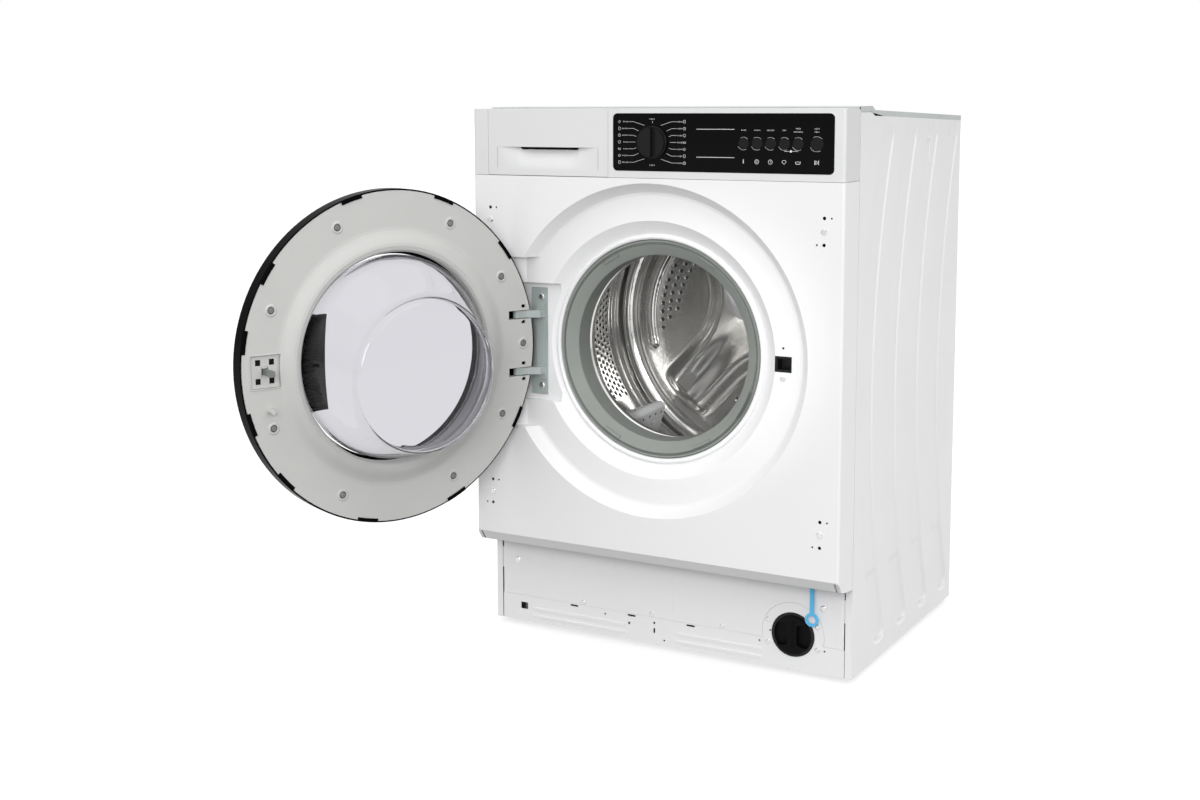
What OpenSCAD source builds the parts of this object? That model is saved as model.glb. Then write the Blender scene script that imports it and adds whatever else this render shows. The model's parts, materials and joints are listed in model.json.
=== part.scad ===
// Integrated front-loading washing machine, standing with its round door open.
// Millimetres, +Z up. The origin lies on the floor under the middle of the cabinet.
// +X is to the right seen from the front, and +Y runs to the back.
// Inside at_front(), y = 0 is the front face and z = 0 is the underside of the floor pan.
// Inside on_axis(), local z is the depth from the front face along the drum's axis.

/* [Cabinet] */
// Width over the side panels
body_w = 596; // [580:1:640]
// Depth from the front face to the back panel
body_d = 528; // [520:1:600]
// Height of the cabinet from the floor pan to the top of the fascia
body_h = 817; // [810:1:860]
// Height of the floor pan above the floor
foot_gap = 8; // [6:1:20]
// Thickness of the cabinet's sheet steel
sheet_t = 0.8; // [0.6:0.1:1.2]
// Depth of the front covers' side returns
return_d = 56.5; // [54:0.5:58]
// Radius of the front covers' upright edges
edge_r = 4; // [2:0.5:6]
// Height of the kick space under the front panel
kick_h = 157; // [150:1:160]
// Height of the lid above the fascia
lid_rise = 2; // [1.5:0.5:4]
// Fall of the lid from front to back
lid_fall = 15; // [5:1:20]
// Height of the lid's side flange
lid_flange = 8; // [6:1:12]
// Depth of the pressed ribs in the side panels
rib_depth = 2; // [1:0.1:3]
// Width of a pressed rib
rib_w = 55; // [40:1:60]
// Spacing of the pressed ribs
rib_pitch = 103.5; // [95:0.5:105]

/* [Fascia] */
// Height of the control fascia
fascia_h = 100; // [96:1:104]
// Wall of the moulded fascia and drawer front
shell_t = 2.5; // [2:0.1:3]
// Height of the black control window
window_h = 83.5; // [80:0.5:86]
// Distance of the window's right end from the cabinet's right side
window_right = 16; // [14:1:18]
// Distance between the drawer's front and the window
window_gap = 8; // [7:0.5:12]
// Place of the dial from the window's left end
dial_x = 64.3; // [62:0.1:69]
// Radius of the dial
dial_r = 23.5; // [20:0.5:26]
// Height of the dial in front of the window
dial_h = 15; // [10:0.5:20]
// Place of the first button from the window's right end
button_x = 133.3; // [132:0.1:137]
// Spacing of the buttons
button_pitch = 20.2; // [19:0.1:21]
// Radius of the small buttons
button_r = 7.9; // [7:0.1:8.5]
// Radius of the start button
start_r = 9.2; // [8:0.1:9.5]
// Width of the detergent drawer's front
drawer_w = 207; // [200:1:210]
// Distance of the drawer's front from the cabinet's left side
drawer_left = 26; // [24:1:28]
// Length of the detergent tray
tray_len = 300; // [250:1:310]
// Height of the detergent tray
tray_h = 58; // [50:1:60]

/* [Porthole] */
// Distance of the drum's axis below the top of the fascia
axis_h = 355.5; // [352:0.5:362]
// Radius of the recess at the front face
recess_r = 248; // [247:0.5:250]
// Depth of the recess floor
recess_d = 18.4; // [17.5:0.1:20]
// Radius of the recess floor
floor_r = 234; // [232:0.5:236]
// Outer radius of the dish inside the recess
dish_r = 192.5; // [190:0.5:196]
// Outer radius of the rolled rim
rim_r = 172; // [171:0.5:174]
// Radius of the hole in the front panel
hole_r = 164; // [163:0.5:165]
// Depth of the rolled rim
rim_d = 34; // [32:0.5:35]
// Depth of the hinge pocket
pocket_d = 29.5; // [28:0.5:31]

/* [Door] */
// Radius of the door
door_r = 244.7; // [243:0.1:245]
// Thickness of the door
door_t = 28.5; // [27:0.5:30]
// Depth of the closed door's inner face behind the front face
door_in = 3; // [2:0.5:3.5]
// Distance of the hinge pins to the left of the middle
hinge_x = 219.5; // [218:0.5:221]
// Distance of the hinge pins in front of the front face
hinge_y = 6; // [5:0.5:7]
// Radius of the hinge pins
hinge_pin_r = 3; // [2.5:0.1:3.2]
// Angle at which the door stands open
door_open = 115.3; // [90:0.1:116]
// Radius of the opening in the door ring
port_r = 154; // [153:0.5:156]
// Depth of the glass bowl behind the door's inner face
bowl_d = 92; // [70:1:100]
// Thickness of the glass
glass_t = 5; // [4:0.5:6]

/* [Drum] */
// Inner radius of the drum
drum_r = 237; // [230:1:240]
// Length of the drum
drum_len = 302; // [280:1:305]
// Depth of the drum's front lip behind the front face
drum_y = 86; // [85:1:90]
// Radius of the drum's mouth
mouth_r = 141; // [140:0.5:144]
// Radial gap between the drum and the tub
tub_gap = 17; // [15:0.5:18]
// Wall of the moulded tub
tub_t = 3; // [2.5:0.1:4]
// Radius of the drum shaft
shaft_r = 12.5; // [10:0.5:15]
// Radius of the drum pulley
pulley_r = 140; // [120:1:150]
// Radius of the motor pulley
motor_pulley_r = 10.5; // [9:0.5:14]
// Radius of the holes in the drum wall
perf_r = 2; // [1.5:0.1:2.5]

/* [Service] */
// Distance of the drain filter from the cabinet's right side
filter_x = 89.7; // [86:0.1:93]
// Height of the drain filter above the floor pan
filter_z = 52.4; // [50:0.1:55]
// Radius of the filter cap
cap_r = 28.5; // [26:0.5:30]
// Height of the joint between the service panel and the pan's apron
joint_z = 41.5; // [40:0.5:43]
// Radius of the water inlet's thread
inlet_r = 13.2; // [12:0.1:14]
// Radius of the drain outlet
outlet_r = 9.5; // [9:0.1:11]

/* [Hidden] */
$fn = 96;

// Clearances: a seat, a joint line, a running shaft, and the overlap of cutting shapes
seat = 0.3;
joint = 0.5;
run = 0.05;
cut = 1;

// Colours
white = [0.93, 0.93, 0.93];
grey = [0.78, 0.79, 0.77];
black = [0.06, 0.06, 0.07];
steel = [0.72, 0.73, 0.74];
rubber_grey = [0.52, 0.55, 0.53];
concrete = [0.55, 0.54, 0.52];
blue = [0.45, 0.68, 0.86];

// Cabinet planes
half_w = body_w / 2;
axis_z = body_h - axis_h;
side_y = return_d + 1.2;
kick_y = side_y + 1;
panel_top = body_h - fascia_h - joint;
skirt_y = 12;
skirt_drop = 16;
lid_y = return_d - 4.5;
lid_step_y = lid_y + 52;
lid_step = 6;
lid_z = body_h + lid_rise;
rear_y = body_d - sheet_t;
flange_w = 10;
rib_r = 1020;
rib_mid = axis_z - 56;
rib_end = 339.5;
rib_corner = 18;
rib_draft = 5;
rib_front = 44;

// Porthole
bead_r = (rim_r - hole_r) / 2;
hole_end = rim_d + 4;
shelf_h = 131;
shelf_x = 262;
pocket_h = 91;
pocket_x = hinge_x + 37;
pocket_in = 160;
bracket_h = 83;
bracket_x = 213;
bracket_w = 28;
bracket_hole = 69;
bracket_t = 2;
arm_z = 44;
arm_h = 11;
arm_r = 6;

// Furniture door holes in the front panel
furniture_x = half_w - 29;
furniture_z = [axis_z + 187.5, axis_z - 238.5];
furniture_pitch = 37;

// Door
door_out = door_in - door_t;
disc_r = door_r - 2.5;
notch_in = 199;
latch_x = 204;
latch_z = -4;
lock_w = 26;
lock_h = 23;
hook_x = 206;
screw_angles = [23, 65, 117, 150.5, -23, -65, -117, -150.5];
screw_r = 213;
hinge_screw_x = 224.5;
hook_z = -2;

// Controls
drawer_x = drawer_left - half_w;
start_gap = 27.1;
window_w = body_w - drawer_left - drawer_w - window_gap - window_right;
window_x = half_w - window_right - window_w / 2;
dial_mid = window_x - window_w / 2 + dial_x;
first_button = half_w - window_right - button_x;
dial_z = body_h - 48;
button_z = body_h - 48.6;
window_z = body_h - 6.5 - window_h;
drawer_z = body_h - fascia_h + joint;
drawer_h = fascia_h - 2 * joint;
tray_z = drawer_z + 19;
tray_inset = 6;
handle_z = body_h - 57;
handle_w = 174;
handle_h = 34;
handle_d = 13;

// Drum and tub
drum_back_y = drum_y + drum_len;
drum_out = drum_r + sheet_t;
tub_in = drum_out + tub_gap - sheet_t;
tub_r = tub_in + tub_t;
tub_y = drum_y - 14;
tub_split = tub_y + 170;
tub_back = drum_back_y + 22;
neck_r = 150;
neck_y = tub_y - 12;
hub_r = 31;
hub_end = tub_back + 30;
pulley_y = hub_end + 15;
pulley_t = 18;
pulley_hub = 26;
belt_t = 3;
belt_w = 12;
motor_x = -60;
motor_z = axis_z - 323.5;
motor_r = 52;
motor_len = 100;
motor_y = tub_back - 85;
lifter_angles = [108, 228, 348];

// Service parts
drain_x = half_w - filter_x;
surround_r = 48;
ring_r = cap_r + 4.5;
foot_x = half_w - 38;
foot_y = [side_y + 42, body_d - 38];
foot_pad_r = 17;
foot_thread_r = 5;
foot_travel = 15;
service_w = body_w - 24;
service_top = kick_h + 8;
strap_x = drain_x + 30.5;
inlet_x = -half_w + 80;
inlet_z = body_h - 62;
outlet_x = drain_x + 22;
outlet_z = body_h - 160;
gland_x = -half_w + 70;
gland_z = 70;
cover_r = 190;
cover_drop = 40;
vent_r = [60, 80, 100];
vent_len = 40;
board_d = 22;

module at_front()
    translate([0, -body_d / 2, foot_gap]) children();

// Turns a local z axis into the depth, at a point of the front view
module at(x, z, y = 0)
    translate([x, y, z]) rotate([-90, 0, 0]) children();

module on_axis()
    at(0, axis_z) children();

// Turns a piece on the drum's axis to an angle seen from the front
module turned(a)
    rotate([0, 0, -a]) children();

module on_door()
    at_front() translate([-hinge_x, -hinge_y, 0]) rotate([0, 0, -door_open])
        translate([hinge_x, hinge_y, 0]) children();

module revolve(points)
    rotate_extrude($fn = 144) polygon(points);

// A path's points shifted sideways by t at mitred corners
function unit(v) = v / norm(v);
function across(v) = [-v[1], v[0]];
function leg(p, i) = unit(p[i + 1] - p[i]);
function mitre(p, i, t) =
    let (a = across(leg(p, max(i - 1, 0))),
        b = across(leg(p, min(i, len(p) - 2))),
        m = unit(a + b))
    p[i] + m * t / (m * a);
function shifted(p, t) = [for (i = [0 : len(p) - 1]) mitre(p, i, t)];
function reversed(p) = [for (i = [len(p) - 1 : -1 : 0]) p[i]];
function wall(p, t) = concat(p, reversed(shifted(p, t)));
function arc(c, r, a, b, n) =
    [for (i = [0 : n]) c + r * [cos(a + (b - a) * i / n), sin(a + (b - a) * i / n)]];

module rounded(w, h, r) {
    square([w - 2 * r, h], center = true);
    square([w, h - 2 * r], center = true);
    for (x = [-1, 1], y = [-1, 1])
        translate([x * (w / 2 - r), y * (h / 2 - r)]) circle(r);
}

// A profile in the depth and height, extruded over the cabinet's width
module across_width(w, points)
    translate([-w / 2, 0, 0]) rotate([90, 0, 90]) linear_extrude(w) polygon(points);

module screw(head_r, length, shank_r) {
    translate([0, 0, -1.6]) cylinder(r1 = head_r * 0.75, r2 = head_r, h = 0.8);
    translate([0, 0, -0.8]) cylinder(r = head_r, h = 0.8);
    cylinder(r = shank_r, h = length);
}

// Plan of a front cover: rounded front corners, open at the back
module cover_plan(inset, depth) {
    r = edge_r - min(inset, edge_r - 0.5);
    w = body_w - 2 * inset;
    translate([-w / 2, inset + r]) square([w, depth - inset - r]);
    translate([-w / 2 + r, inset]) square([w - 2 * r, r + cut]);
    for (s = [-1, 1])
        translate([s * (w / 2 - r), inset + r]) circle(r);
}

// Outline of a side panel in the depth and height
lid_line = [[lid_y, lid_z], [lid_step_y, lid_z], [lid_step_y + 12, lid_z - lid_step],
    [body_d, lid_z - lid_step - lid_fall]];
side_line = shifted([for (p = lid_line) [max(p[0], side_y), p[1]]], -lid_flange - seat);

// Pressed rib along a large arc, with sloping sides and rounded corners.
// Local z is the depth of the pressing; its mouth lies from z = start to z = mouth.
module pressed_rib(start, mouth) {
    half = rib_w / 2;
    turn = asin(rib_end / rib_r);
    floor_z = mouth + rib_depth;
    translate([rib_r, 0, 0]) rotate(180 - turn) rotate_extrude(angle = 2 * turn, $fn = 240)
        translate([rib_r, 0]) polygon([[-half, start], [half, start], [half, mouth],
            [half - rib_draft, floor_z], [rib_draft - half, floor_z], [-half, mouth]]);
    for (s = [0, 1])
        mirror([0, s, 0]) translate([rib_r * (1 - cos(turn)), rib_end, 0]) rotate(-turn) {
            for (x = [-1, 1])
                translate([x * (half - rib_corner), 0, 0]) {
                    translate([0, 0, start]) cylinder(r = rib_corner, h = mouth - start);
                    translate([0, 0, mouth])
                        cylinder(r1 = rib_corner, r2 = rib_corner - rib_draft, h = rib_depth);
                }
            translate([rib_corner - half, 0, 0]) rotate([90, 0, 90]) linear_extrude(rib_w - 2 * rib_corner)
                polygon([[-cut, start], [rib_corner, start], [rib_corner, mouth],
                    [rib_corner - rib_draft, floor_z], [-cut, floor_z]]);
        }
}

module side_ribs(start, mouth)
    for (i = [0 : 3])
        translate([half_w, side_y + rib_front + i * rib_pitch, rib_mid]) mirror([1, 0, 0])
            rotate([90, 0, 90]) pressed_rib(start, mouth);

module side_panel(s) {
    mirror([s < 0 ? 1 : 0, 0, 0]) {
        difference() {
            union() {
                translate([half_w - sheet_t, 0, 0]) rotate([90, 0, 90]) linear_extrude(sheet_t)
                    polygon(concat([[side_y, 0]], [for (p = side_line) [min(p[0], rear_y), p[1]]],
                        [[rear_y, 0]]));
                side_ribs(0, sheet_t);
                // Bracket that carries the suspension spring
                spring_bracket();
            }
            side_ribs(-cut, 0);
        }
        // Front and rear flanges
        translate([half_w - flange_w, side_y, 0])
            cube([flange_w - sheet_t, sheet_t, panel_top - 60]);
        translate([half_w - flange_w - 8, rear_y - sheet_t, 4])
            cube([flange_w + 8 - sheet_t, sheet_t, side_line[3][1] - 10]);
        // Tab that takes the service panel's screw
        translate([half_w - 52, kick_y + sheet_t, kick_h - 75])
            cube([52 - sheet_t, sheet_t, 34]);
    }
}

hang_inset = 58;
hang_x = half_w - hang_inset;
hang_y = tray_len + 44;
hang_z = body_h - 52;
module spring_bracket() {
    difference() {
        translate([hang_x - 14, hang_y - 30, hang_z]) cube([half_w - sheet_t - hang_x + 14, 60, 3]);
        translate([hang_x, hang_y, hang_z - cut]) cylinder(r = 5, h = 3 + 2 * cut);
    }
    for (s = [-1, 1])
        translate([0, hang_y + s * 28.5 - 1.5, 0]) rotate([90, 0, 0]) mirror([0, 0, 1]) linear_extrude(3)
            polygon([[half_w - sheet_t, hang_z], [hang_x, hang_z], [half_w - sheet_t, hang_z - 40]]);
}

module side_panel_left() color(white) at_front() side_panel(-1);
module side_panel_right() color(white) at_front() side_panel(1);

transit_x = 205;
transit_z = [axis_z + 60, axis_z - 90];

module back_panel() color(steel) at_front() difference() {
    at(0, 0, rear_y) linear_extrude(sheet_t) difference() {
        translate([0, -(side_line[3][1] + 4) / 2]) rounded(body_w - 2.4, side_line[3][1] - 6, 6);
        translate([0, cover_drop - axis_z]) circle(cover_r - 12);
        for (x = [-1, 1], z = transit_z)
            translate([x * transit_x, -z]) circle(10 + seat);
        translate([inlet_x, -inlet_z]) circle(inlet_r + 3 + seat);
        translate([outlet_x, -outlet_z]) circle(outlet_r + 3 + seat);
        translate([gland_x, -gland_z]) circle(9 + seat);
    }
    back_screw_holes();
}

module back_screw_holes()
    for (a = [45 : 90 : 315])
        at((cover_r - 7) * cos(a), axis_z - cover_drop + (cover_r - 7) * sin(a), rear_y - cut)
            cylinder(r = 2 + seat, h = 12);

// Pressed cover over the pulley and belt
module back_cover() color(steel) at_front() difference() {
    at(0, axis_z - cover_drop, body_d) difference() {
        revolve(wall([[cover_r, 0], [cover_r - 15, 0], [cover_r - 25, 9], [0.01, 9]], -sheet_t));
        for (a = [0 : 60 : 300], r = vent_r)
            turned(a) translate([r, 0, 0]) rotate([0, 0, 90]) linear_extrude(12) rounded(vent_len, 5, 2.4);
    }
    back_screw_holes();
}

// Galvanised lid, stepped behind the fascia and falling to the back
module top_cover() color(steel) at_front() {
    across_width(body_w, wall(lid_line, -sheet_t));
    across_width(body_w, [[lid_y, lid_z], [lid_y + 1, lid_z], [lid_y + 1, body_h + seat],
        [lid_y, body_h + seat]]);
    flange = [for (p = lid_line) [max(p[0], return_d + joint), p[1]]];
    for (s = [0, 1])
        mirror([s, 0, 0]) translate([half_w - sheet_t, 0, 0]) rotate([90, 0, 90])
            linear_extrude(sheet_t) polygon(concat(flange, reversed(shifted(flange, -lid_flange))));
}

// Front surface of the recess, from the front face to the hole
recess_line = concat(
    [[recess_r, 0], [floor_r + 3, recess_d - 4], [floor_r, recess_d - 1], [floor_r - 4, recess_d],
        [dish_r, recess_d], [rim_r + 3, rim_d - 2], [rim_r, rim_d]],
    arc([rim_r - bead_r, rim_d], bead_r, -20, -160, 5),
    [[hole_r, rim_d], [hole_r, hole_end]]);
skirt_line = [[0, panel_top], [0, kick_h], [skirt_y, kick_h - skirt_drop],
    [30, kick_h - skirt_drop - 4.5], [return_d, kick_h - skirt_drop - 7]];

module front_panel() color(white) at_front() difference() {
    union() {
        difference() {
            linear_extrude(body_h) cover_plan(0, return_d);
            across_width(body_w + 2, concat([[-1, -1], [-1, kick_h]], [for (i = [1 : 4]) skirt_line[i]],
                [[return_d + 1, kick_h - skirt_drop - 7], [return_d + 1, -1]]));
            translate([-body_w, -1, panel_top]) cube([2 * body_w, body_d, body_h]);
            difference() {
                translate([0, 0, kick_h - skirt_drop - 20]) linear_extrude(body_h)
                    cover_plan(sheet_t, return_d + 1);
                across_width(body_w, wall([for (i = [1 : 4]) skirt_line[i]], sheet_t));
                translate([-half_w, 0, panel_top - sheet_t]) cube([body_w, 16, sheet_t]);
            }
            translate([-half_w + sheet_t, 26, 0]) cube([body_w - 2 * sheet_t, return_d, kick_h - 10]);
        }
        on_axis() revolve(concat([[0, 0], [recess_r + sheet_t, 0]], shifted(recess_line, -sheet_t),
            [[0, hole_end]]));
        shelf(sheet_t);
        pocket(sheet_t);
    }
    on_axis() revolve(concat([[0, -1], [recess_r, -1]], recess_line,
        [[hole_r, hole_end + cut], [0, hole_end + cut]]));
    shelf(0);
    pocket(0);
    furniture_holes();
    // Opening for the door lock, its screw and its sensor
    translate([latch_x - lock_w / 2, 0, axis_z + latch_z - lock_h / 2]) cube([lock_w, 30, lock_h]);
    at(latch_x, axis_z + latch_z + 23, 0) cylinder(r = 1.8, h = 30);
    at(latch_x, axis_z + latch_z - 21, 0) cylinder(r = 2 + seat, h = 30);
    // Slits at the ends of the bottom flange
    for (s = [-1, 1])
        translate([s * (half_w - 6.5) - 1.5, -1, kick_h - skirt_drop]) cube([3, 20, skirt_drop - 2]);
    // Holes for the hinge bracket's screws
    for (s = [-1, 1])
        at(-bracket_x + 18, axis_z + s * bracket_hole, 0) cylinder(r = 2.5 + seat, h = 40);
}

// Slanted floor that joins the recess to the front face on the hinge side
module shelf(grow)
    translate([0, 0, axis_z - shelf_h - grow]) linear_extrude(2 * (shelf_h + grow)) polygon([
        [-shelf_x - grow, grow > 0 ? 0 : -1], [-shelf_x - grow, grow * 0.5], [-216, recess_d + grow],
        [-190, recess_d + grow], [-190, grow > 0 ? 0 : -1]]);

// Deep pocket in which the hinge side of the door turns
module pocket(grow)
    translate([0, 0, axis_z - pocket_h - grow]) linear_extrude(2 * (pocket_h + grow)) polygon([
        [-pocket_x - grow, grow > 0 ? 0 : -1], [-pocket_x - grow, grow * 0.5],
        [-pocket_x + 18 - grow * 0.5, pocket_d + grow], [-pocket_in, pocket_d + grow],
        [-pocket_in, grow > 0 ? 0 : -1]]);

module furniture_holes()
    for (x = [-1, 1], z = furniture_z) {
        at(x * furniture_x, z, -cut) cylinder(r = 2 + seat, h = 20);
        for (s = [-1, 1]) {
            at(x * furniture_x, z + s * furniture_pitch / 2, -cut) cylinder(r = 2.5, h = 6);
            at(x * furniture_x + s * 10.5, z + s * furniture_pitch / 2, -cut) cylinder(r = 1.4, h = 6);
        }
    }

window_mid = window_z + window_h / 2;
button_at = [for (i = [0 : 4]) first_button + i * button_pitch];
start_x = button_at[4] + start_gap;

// Moulded control fascia, open at the back
module control_fascia() color(white) at_front() difference() {
    translate([0, 0, body_h - fascia_h]) linear_extrude(fascia_h) cover_plan(0, return_d);
    translate([0, 0, body_h - fascia_h + shell_t]) linear_extrude(fascia_h - 2 * shell_t)
        cover_plan(shell_t, return_d + 1);
    // Bottom wall and top wall stop short of the side returns
    translate([-half_w + shell_t, 34, body_h - fascia_h - 1])
        cube([body_w - 2 * shell_t, return_d, shell_t + 2]);
    translate([-half_w - 1, lid_y - joint, body_h - shell_t]) cube([body_w + 2, return_d, shell_t + 1]);
    // Opening for the drawer
    translate([drawer_x, -1, body_h - fascia_h - 1]) cube([drawer_w, shell_t + 1 + 2, fascia_h + 2]);
    // Opening for the window
    at(window_x, window_mid, -1) linear_extrude(shell_t + 2) rounded(window_w, window_h, 7);
}

module control_window() color(black) at_front() difference() {
    union() {
        at(window_x, window_mid, -0.3) linear_extrude(shell_t + 0.3)
            rounded(window_w - 2 * seat, window_h - 2 * seat, 7 - seat);
        at(window_x, window_mid, shell_t) linear_extrude(1.5) rounded(window_w + 6, window_h + 3, 7);
    }
    at(dial_mid, dial_z, -1) cylinder(r = 4 + seat, h = 10);
    for (x = button_at)
        at(x, button_z, -1) cylinder(r = button_r + seat, h = 10);
    at(start_x, button_z, -1) cylinder(r = start_r + seat, h = 10);
}

// Rotary programme selector with an upright grip
module program_dial() color(black) at_front() at(dial_mid, dial_z, -dial_h) {
    translate([0, 0, dial_h - 5]) cylinder(r1 = dial_r - 0.8, r2 = dial_r, h = 1);
    translate([0, 0, dial_h - 4]) cylinder(r = dial_r, h = 3.2);
    intersection() {
        cylinder(r1 = dial_r - 3.5, r2 = dial_r - 1.5, h = dial_h - 4);
        union() {
            translate([-3.4, -dial_r, 0]) cube([6.8, 2 * dial_r, dial_h]);
            translate([0, 0, dial_h - 7.5]) cylinder(r = dial_r, h = 5);
        }
    }
    translate([0, 0, dial_h - 2]) cylinder(r = 4, h = 2 + shell_t + 4);
}

module button(x, r) at_front() at(x, button_z, -0.9) {
    cylinder(r1 = r - 0.4, r2 = r, h = 0.4);
    translate([0, 0, 0.4]) cylinder(r = r, h = shell_t + 3.6);
}
module button_1() color(black) button(button_at[0], button_r);
module button_2() color(black) button(button_at[1], button_r);
module button_3() color(black) button(button_at[2], button_r);
module button_4() color(black) button(button_at[3], button_r);
module button_5() color(black) button(button_at[4], button_r);
module start_button() color(black) button(start_x, start_r);

// Control electronics in a tray behind the window
button_back = shell_t + 3.1;
module control_board() color("darkgreen") at_front() difference() {
    translate([window_x - window_w / 2 + 4, shell_t + 1.5, window_z + 3])
        cube([window_w - 8, board_d, window_h - 9]);
    at(dial_mid, dial_z, 0) cylinder(r = 4 + run, h = shell_t + 2 + 2 + seat);
    for (x = button_at)
        at(x, button_z, 0) cylinder(r = button_r + seat, h = button_back + 1.3);
    at(start_x, button_z, 0) cylinder(r = start_r + seat, h = button_back + 1.3);
}

// Front of the detergent drawer, with a finger scoop under a lip
drawer_mid = drawer_x + drawer_w / 2;
scoop = [[-1, -handle_h], [0, -handle_h], [handle_d * 0.55, -handle_h * 0.45], [handle_d, -8],
    [handle_d, 6], [4.5, 6], [4.5, 0], [-1, 0]];
module scoop_cut(w, grow)
    translate([drawer_mid - w / 2 - grow, 0, handle_z]) rotate([90, 0, 90]) linear_extrude(w + 2 * grow)
        polygon(grow > 0 ? [[0, -handle_h - 2], [0, 6 + grow], [handle_d + grow, 6 + grow],
            [handle_d + grow, -8], [handle_d * 0.55 + grow, -handle_h * 0.45]] : scoop);
module drawer_front() color(white) at_front() difference() {
    union() {
        translate([drawer_x + joint, 0, drawer_z]) cube([drawer_w - 2 * joint, shell_t, drawer_h]);
        scoop_cut(handle_w, shell_t);
    }
    scoop_cut(handle_w, 0);
}

// Detergent tray with three compartments, and the siphon cap in the softener one
tray_w = drawer_w - 2 * tray_inset;
tray_front = handle_d + shell_t + 1;
cell_w = [(tray_w - 8) * 0.42, (tray_w - 8) * 0.26, (tray_w - 8) * 0.32];
cell_x = [2, 4 + cell_w[0], 6 + cell_w[0] + cell_w[1]];
module drawer_tray() color(grey) at_front() {
    difference() {
        translate([drawer_x + tray_inset, tray_front, tray_z]) cube([tray_w, tray_len - tray_front, tray_h]);
        for (i = [0 : 2])
            translate([drawer_x + tray_inset + cell_x[i], tray_front + 2, tray_z + 2])
                cube([cell_w[i], tray_len - tray_front - 4, tray_h]);
    }
    // Block that carries the drawer's front
    for (s = [-1, 1])
        translate([drawer_mid + s * (tray_w / 2 - 4) - 4, shell_t, tray_z])
            cube([8, tray_front - shell_t, tray_h - 2]);
    translate([drawer_x + tray_inset + cell_x[1] + cell_w[1] / 2, tray_len - 60, tray_z + 2]) {
        cylinder(r = 3, h = tray_h - 10);
        translate([0, 0, tray_h - 16]) cylinder(r = cell_w[1] / 2 - 1, h = 10);
    }
}

// Housing round the detergent tray, with the water spray lid
housing_w = tray_w + 8;
housing_y = tray_front + 22;
housing_end = tray_len + 14;
module dispenser_housing() color(grey) at_front() {
    difference() {
        translate([drawer_mid - housing_w / 2, housing_y, tray_z - 3])
            cube([housing_w, housing_end - housing_y, tray_h + 11]);
        translate([drawer_mid - tray_w / 2 - 1.5, housing_y - 1, tray_z - seat])
            cube([tray_w + 3, housing_end - housing_y - 2, tray_h + 5]);
        translate([drawer_mid, housing_end - 30, tray_z - 4]) cylinder(r = 14, h = 3.8);
    }
    // Water inlet spigot at the back
    at(drawer_mid - 40, tray_z + tray_h - 6, housing_end) difference() {
        cylinder(r = 8, h = 16);
        translate([0, 0, -1]) cylinder(r = 5.5, h = 20);
    }
}

// Panel that closes the kick space, with four pressed fields and an upright strip
field_ends = [21, 108, 223, 318, 440];
field_low = 55;
field_top = kick_h - 27;
field_rise = 0.6;
service_screws = [38 - half_w, half_w - 43];
service_screw_z = 98.5;
apron_screws = [-141, -21, 96];
apron_screw_z = 46.5;
strip_x = half_w - 19;
module service_panel() color(white) at_front() difference() {
    union() {
        translate([-service_w / 2, kick_y, joint_z + seat])
            cube([service_w, sheet_t, service_top - joint_z - seat]);
        for (i = [0 : 3])
            pressed_field(field_ends[i] - half_w + 4, field_ends[i + 1] - half_w - 4,
                field_low, field_top, 3);
        pressed_field(strip_x - 4, strip_x + 4, 53, 115, 3);
    }
    at(drain_x, filter_z, kick_y - 2) cylinder(r = surround_r + seat, h = 5);
    for (x = service_screws)
        at(x, service_screw_z, kick_y - 2) cylinder(r = 2 + seat, h = 6);
    for (x = apron_screws)
        at(x, apron_screw_z, kick_y - 2) cylinder(r = 2 + seat, h = 6);
}

module pressed_field(x0, x1, z0, z1, r)
    at((x0 + x1) / 2, (z0 + z1) / 2, kick_y - field_rise)
        linear_extrude(field_rise + sheet_t) rounded(x1 - x0, z1 - z0, r);

// Floor pan with its upturned edges, the pierced apron and the foot bushes
apron_beads = [[-233, -67], [20, 160]];
apron_slots = [-157, -56, 44];
apron_drillings = [[-60, 26, 2], [-17, 33, 2], [-102, 34, 1.5], [0, 8, 1.5], [156, 35, 1.5],
    [drain_x - 35.3, 53.6, 1.5], [half_w - 41, 35, 1.5]];
module base_pan() color(white) at_front() {
    difference() {
        union() {
            translate([-half_w + 1.2, kick_y, 0]) cube([body_w - 2.4, rear_y - sheet_t - seat - kick_y, 1]);
            translate([-half_w + flange_w + 1, kick_y, 0])
                cube([body_w - 2 * flange_w - 2, sheet_t, joint_z]);
            at(drain_x, filter_z, kick_y) cylinder(r = surround_r, h = sheet_t);
            for (s = [-1, 1])
                translate([s * (half_w - 1.6) - 0.4, kick_y, 0])
                    cube([0.8, rear_y - sheet_t - seat - kick_y, 30]);
            translate([-half_w + 20, rear_y - sheet_t - seat - 0.8, 0]) cube([body_w - 40, 0.8, 30]);
            // Flange behind the service panel
            translate([-service_w / 2, kick_y + sheet_t, joint_z - 14])
                cube([drain_x - surround_r - 4 + service_w / 2, sheet_t, 24]);
            for (x = [-1, 1], y = foot_y)
                translate([x * foot_x, y, 0]) cylinder(r = 9, h = 22);
        }
        for (x = [-1, 1], y = foot_y)
            translate([x * foot_x, y, -cut]) cylinder(r = foot_thread_r + run, h = 22 + 2 * cut);
        at(drain_x, filter_z, kick_y - 2) cylinder(r = ring_r + seat, h = 5);
        apron_holes();
    }
    // Stiffening beads pressed out of the apron
    for (x = apron_beads, z = [10, 22])
        at((x[0] + x[1]) / 2, z, kick_y - 1.2) linear_extrude(1.2) rounded(x[1] - x[0], 4, 1.9);
}

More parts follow.
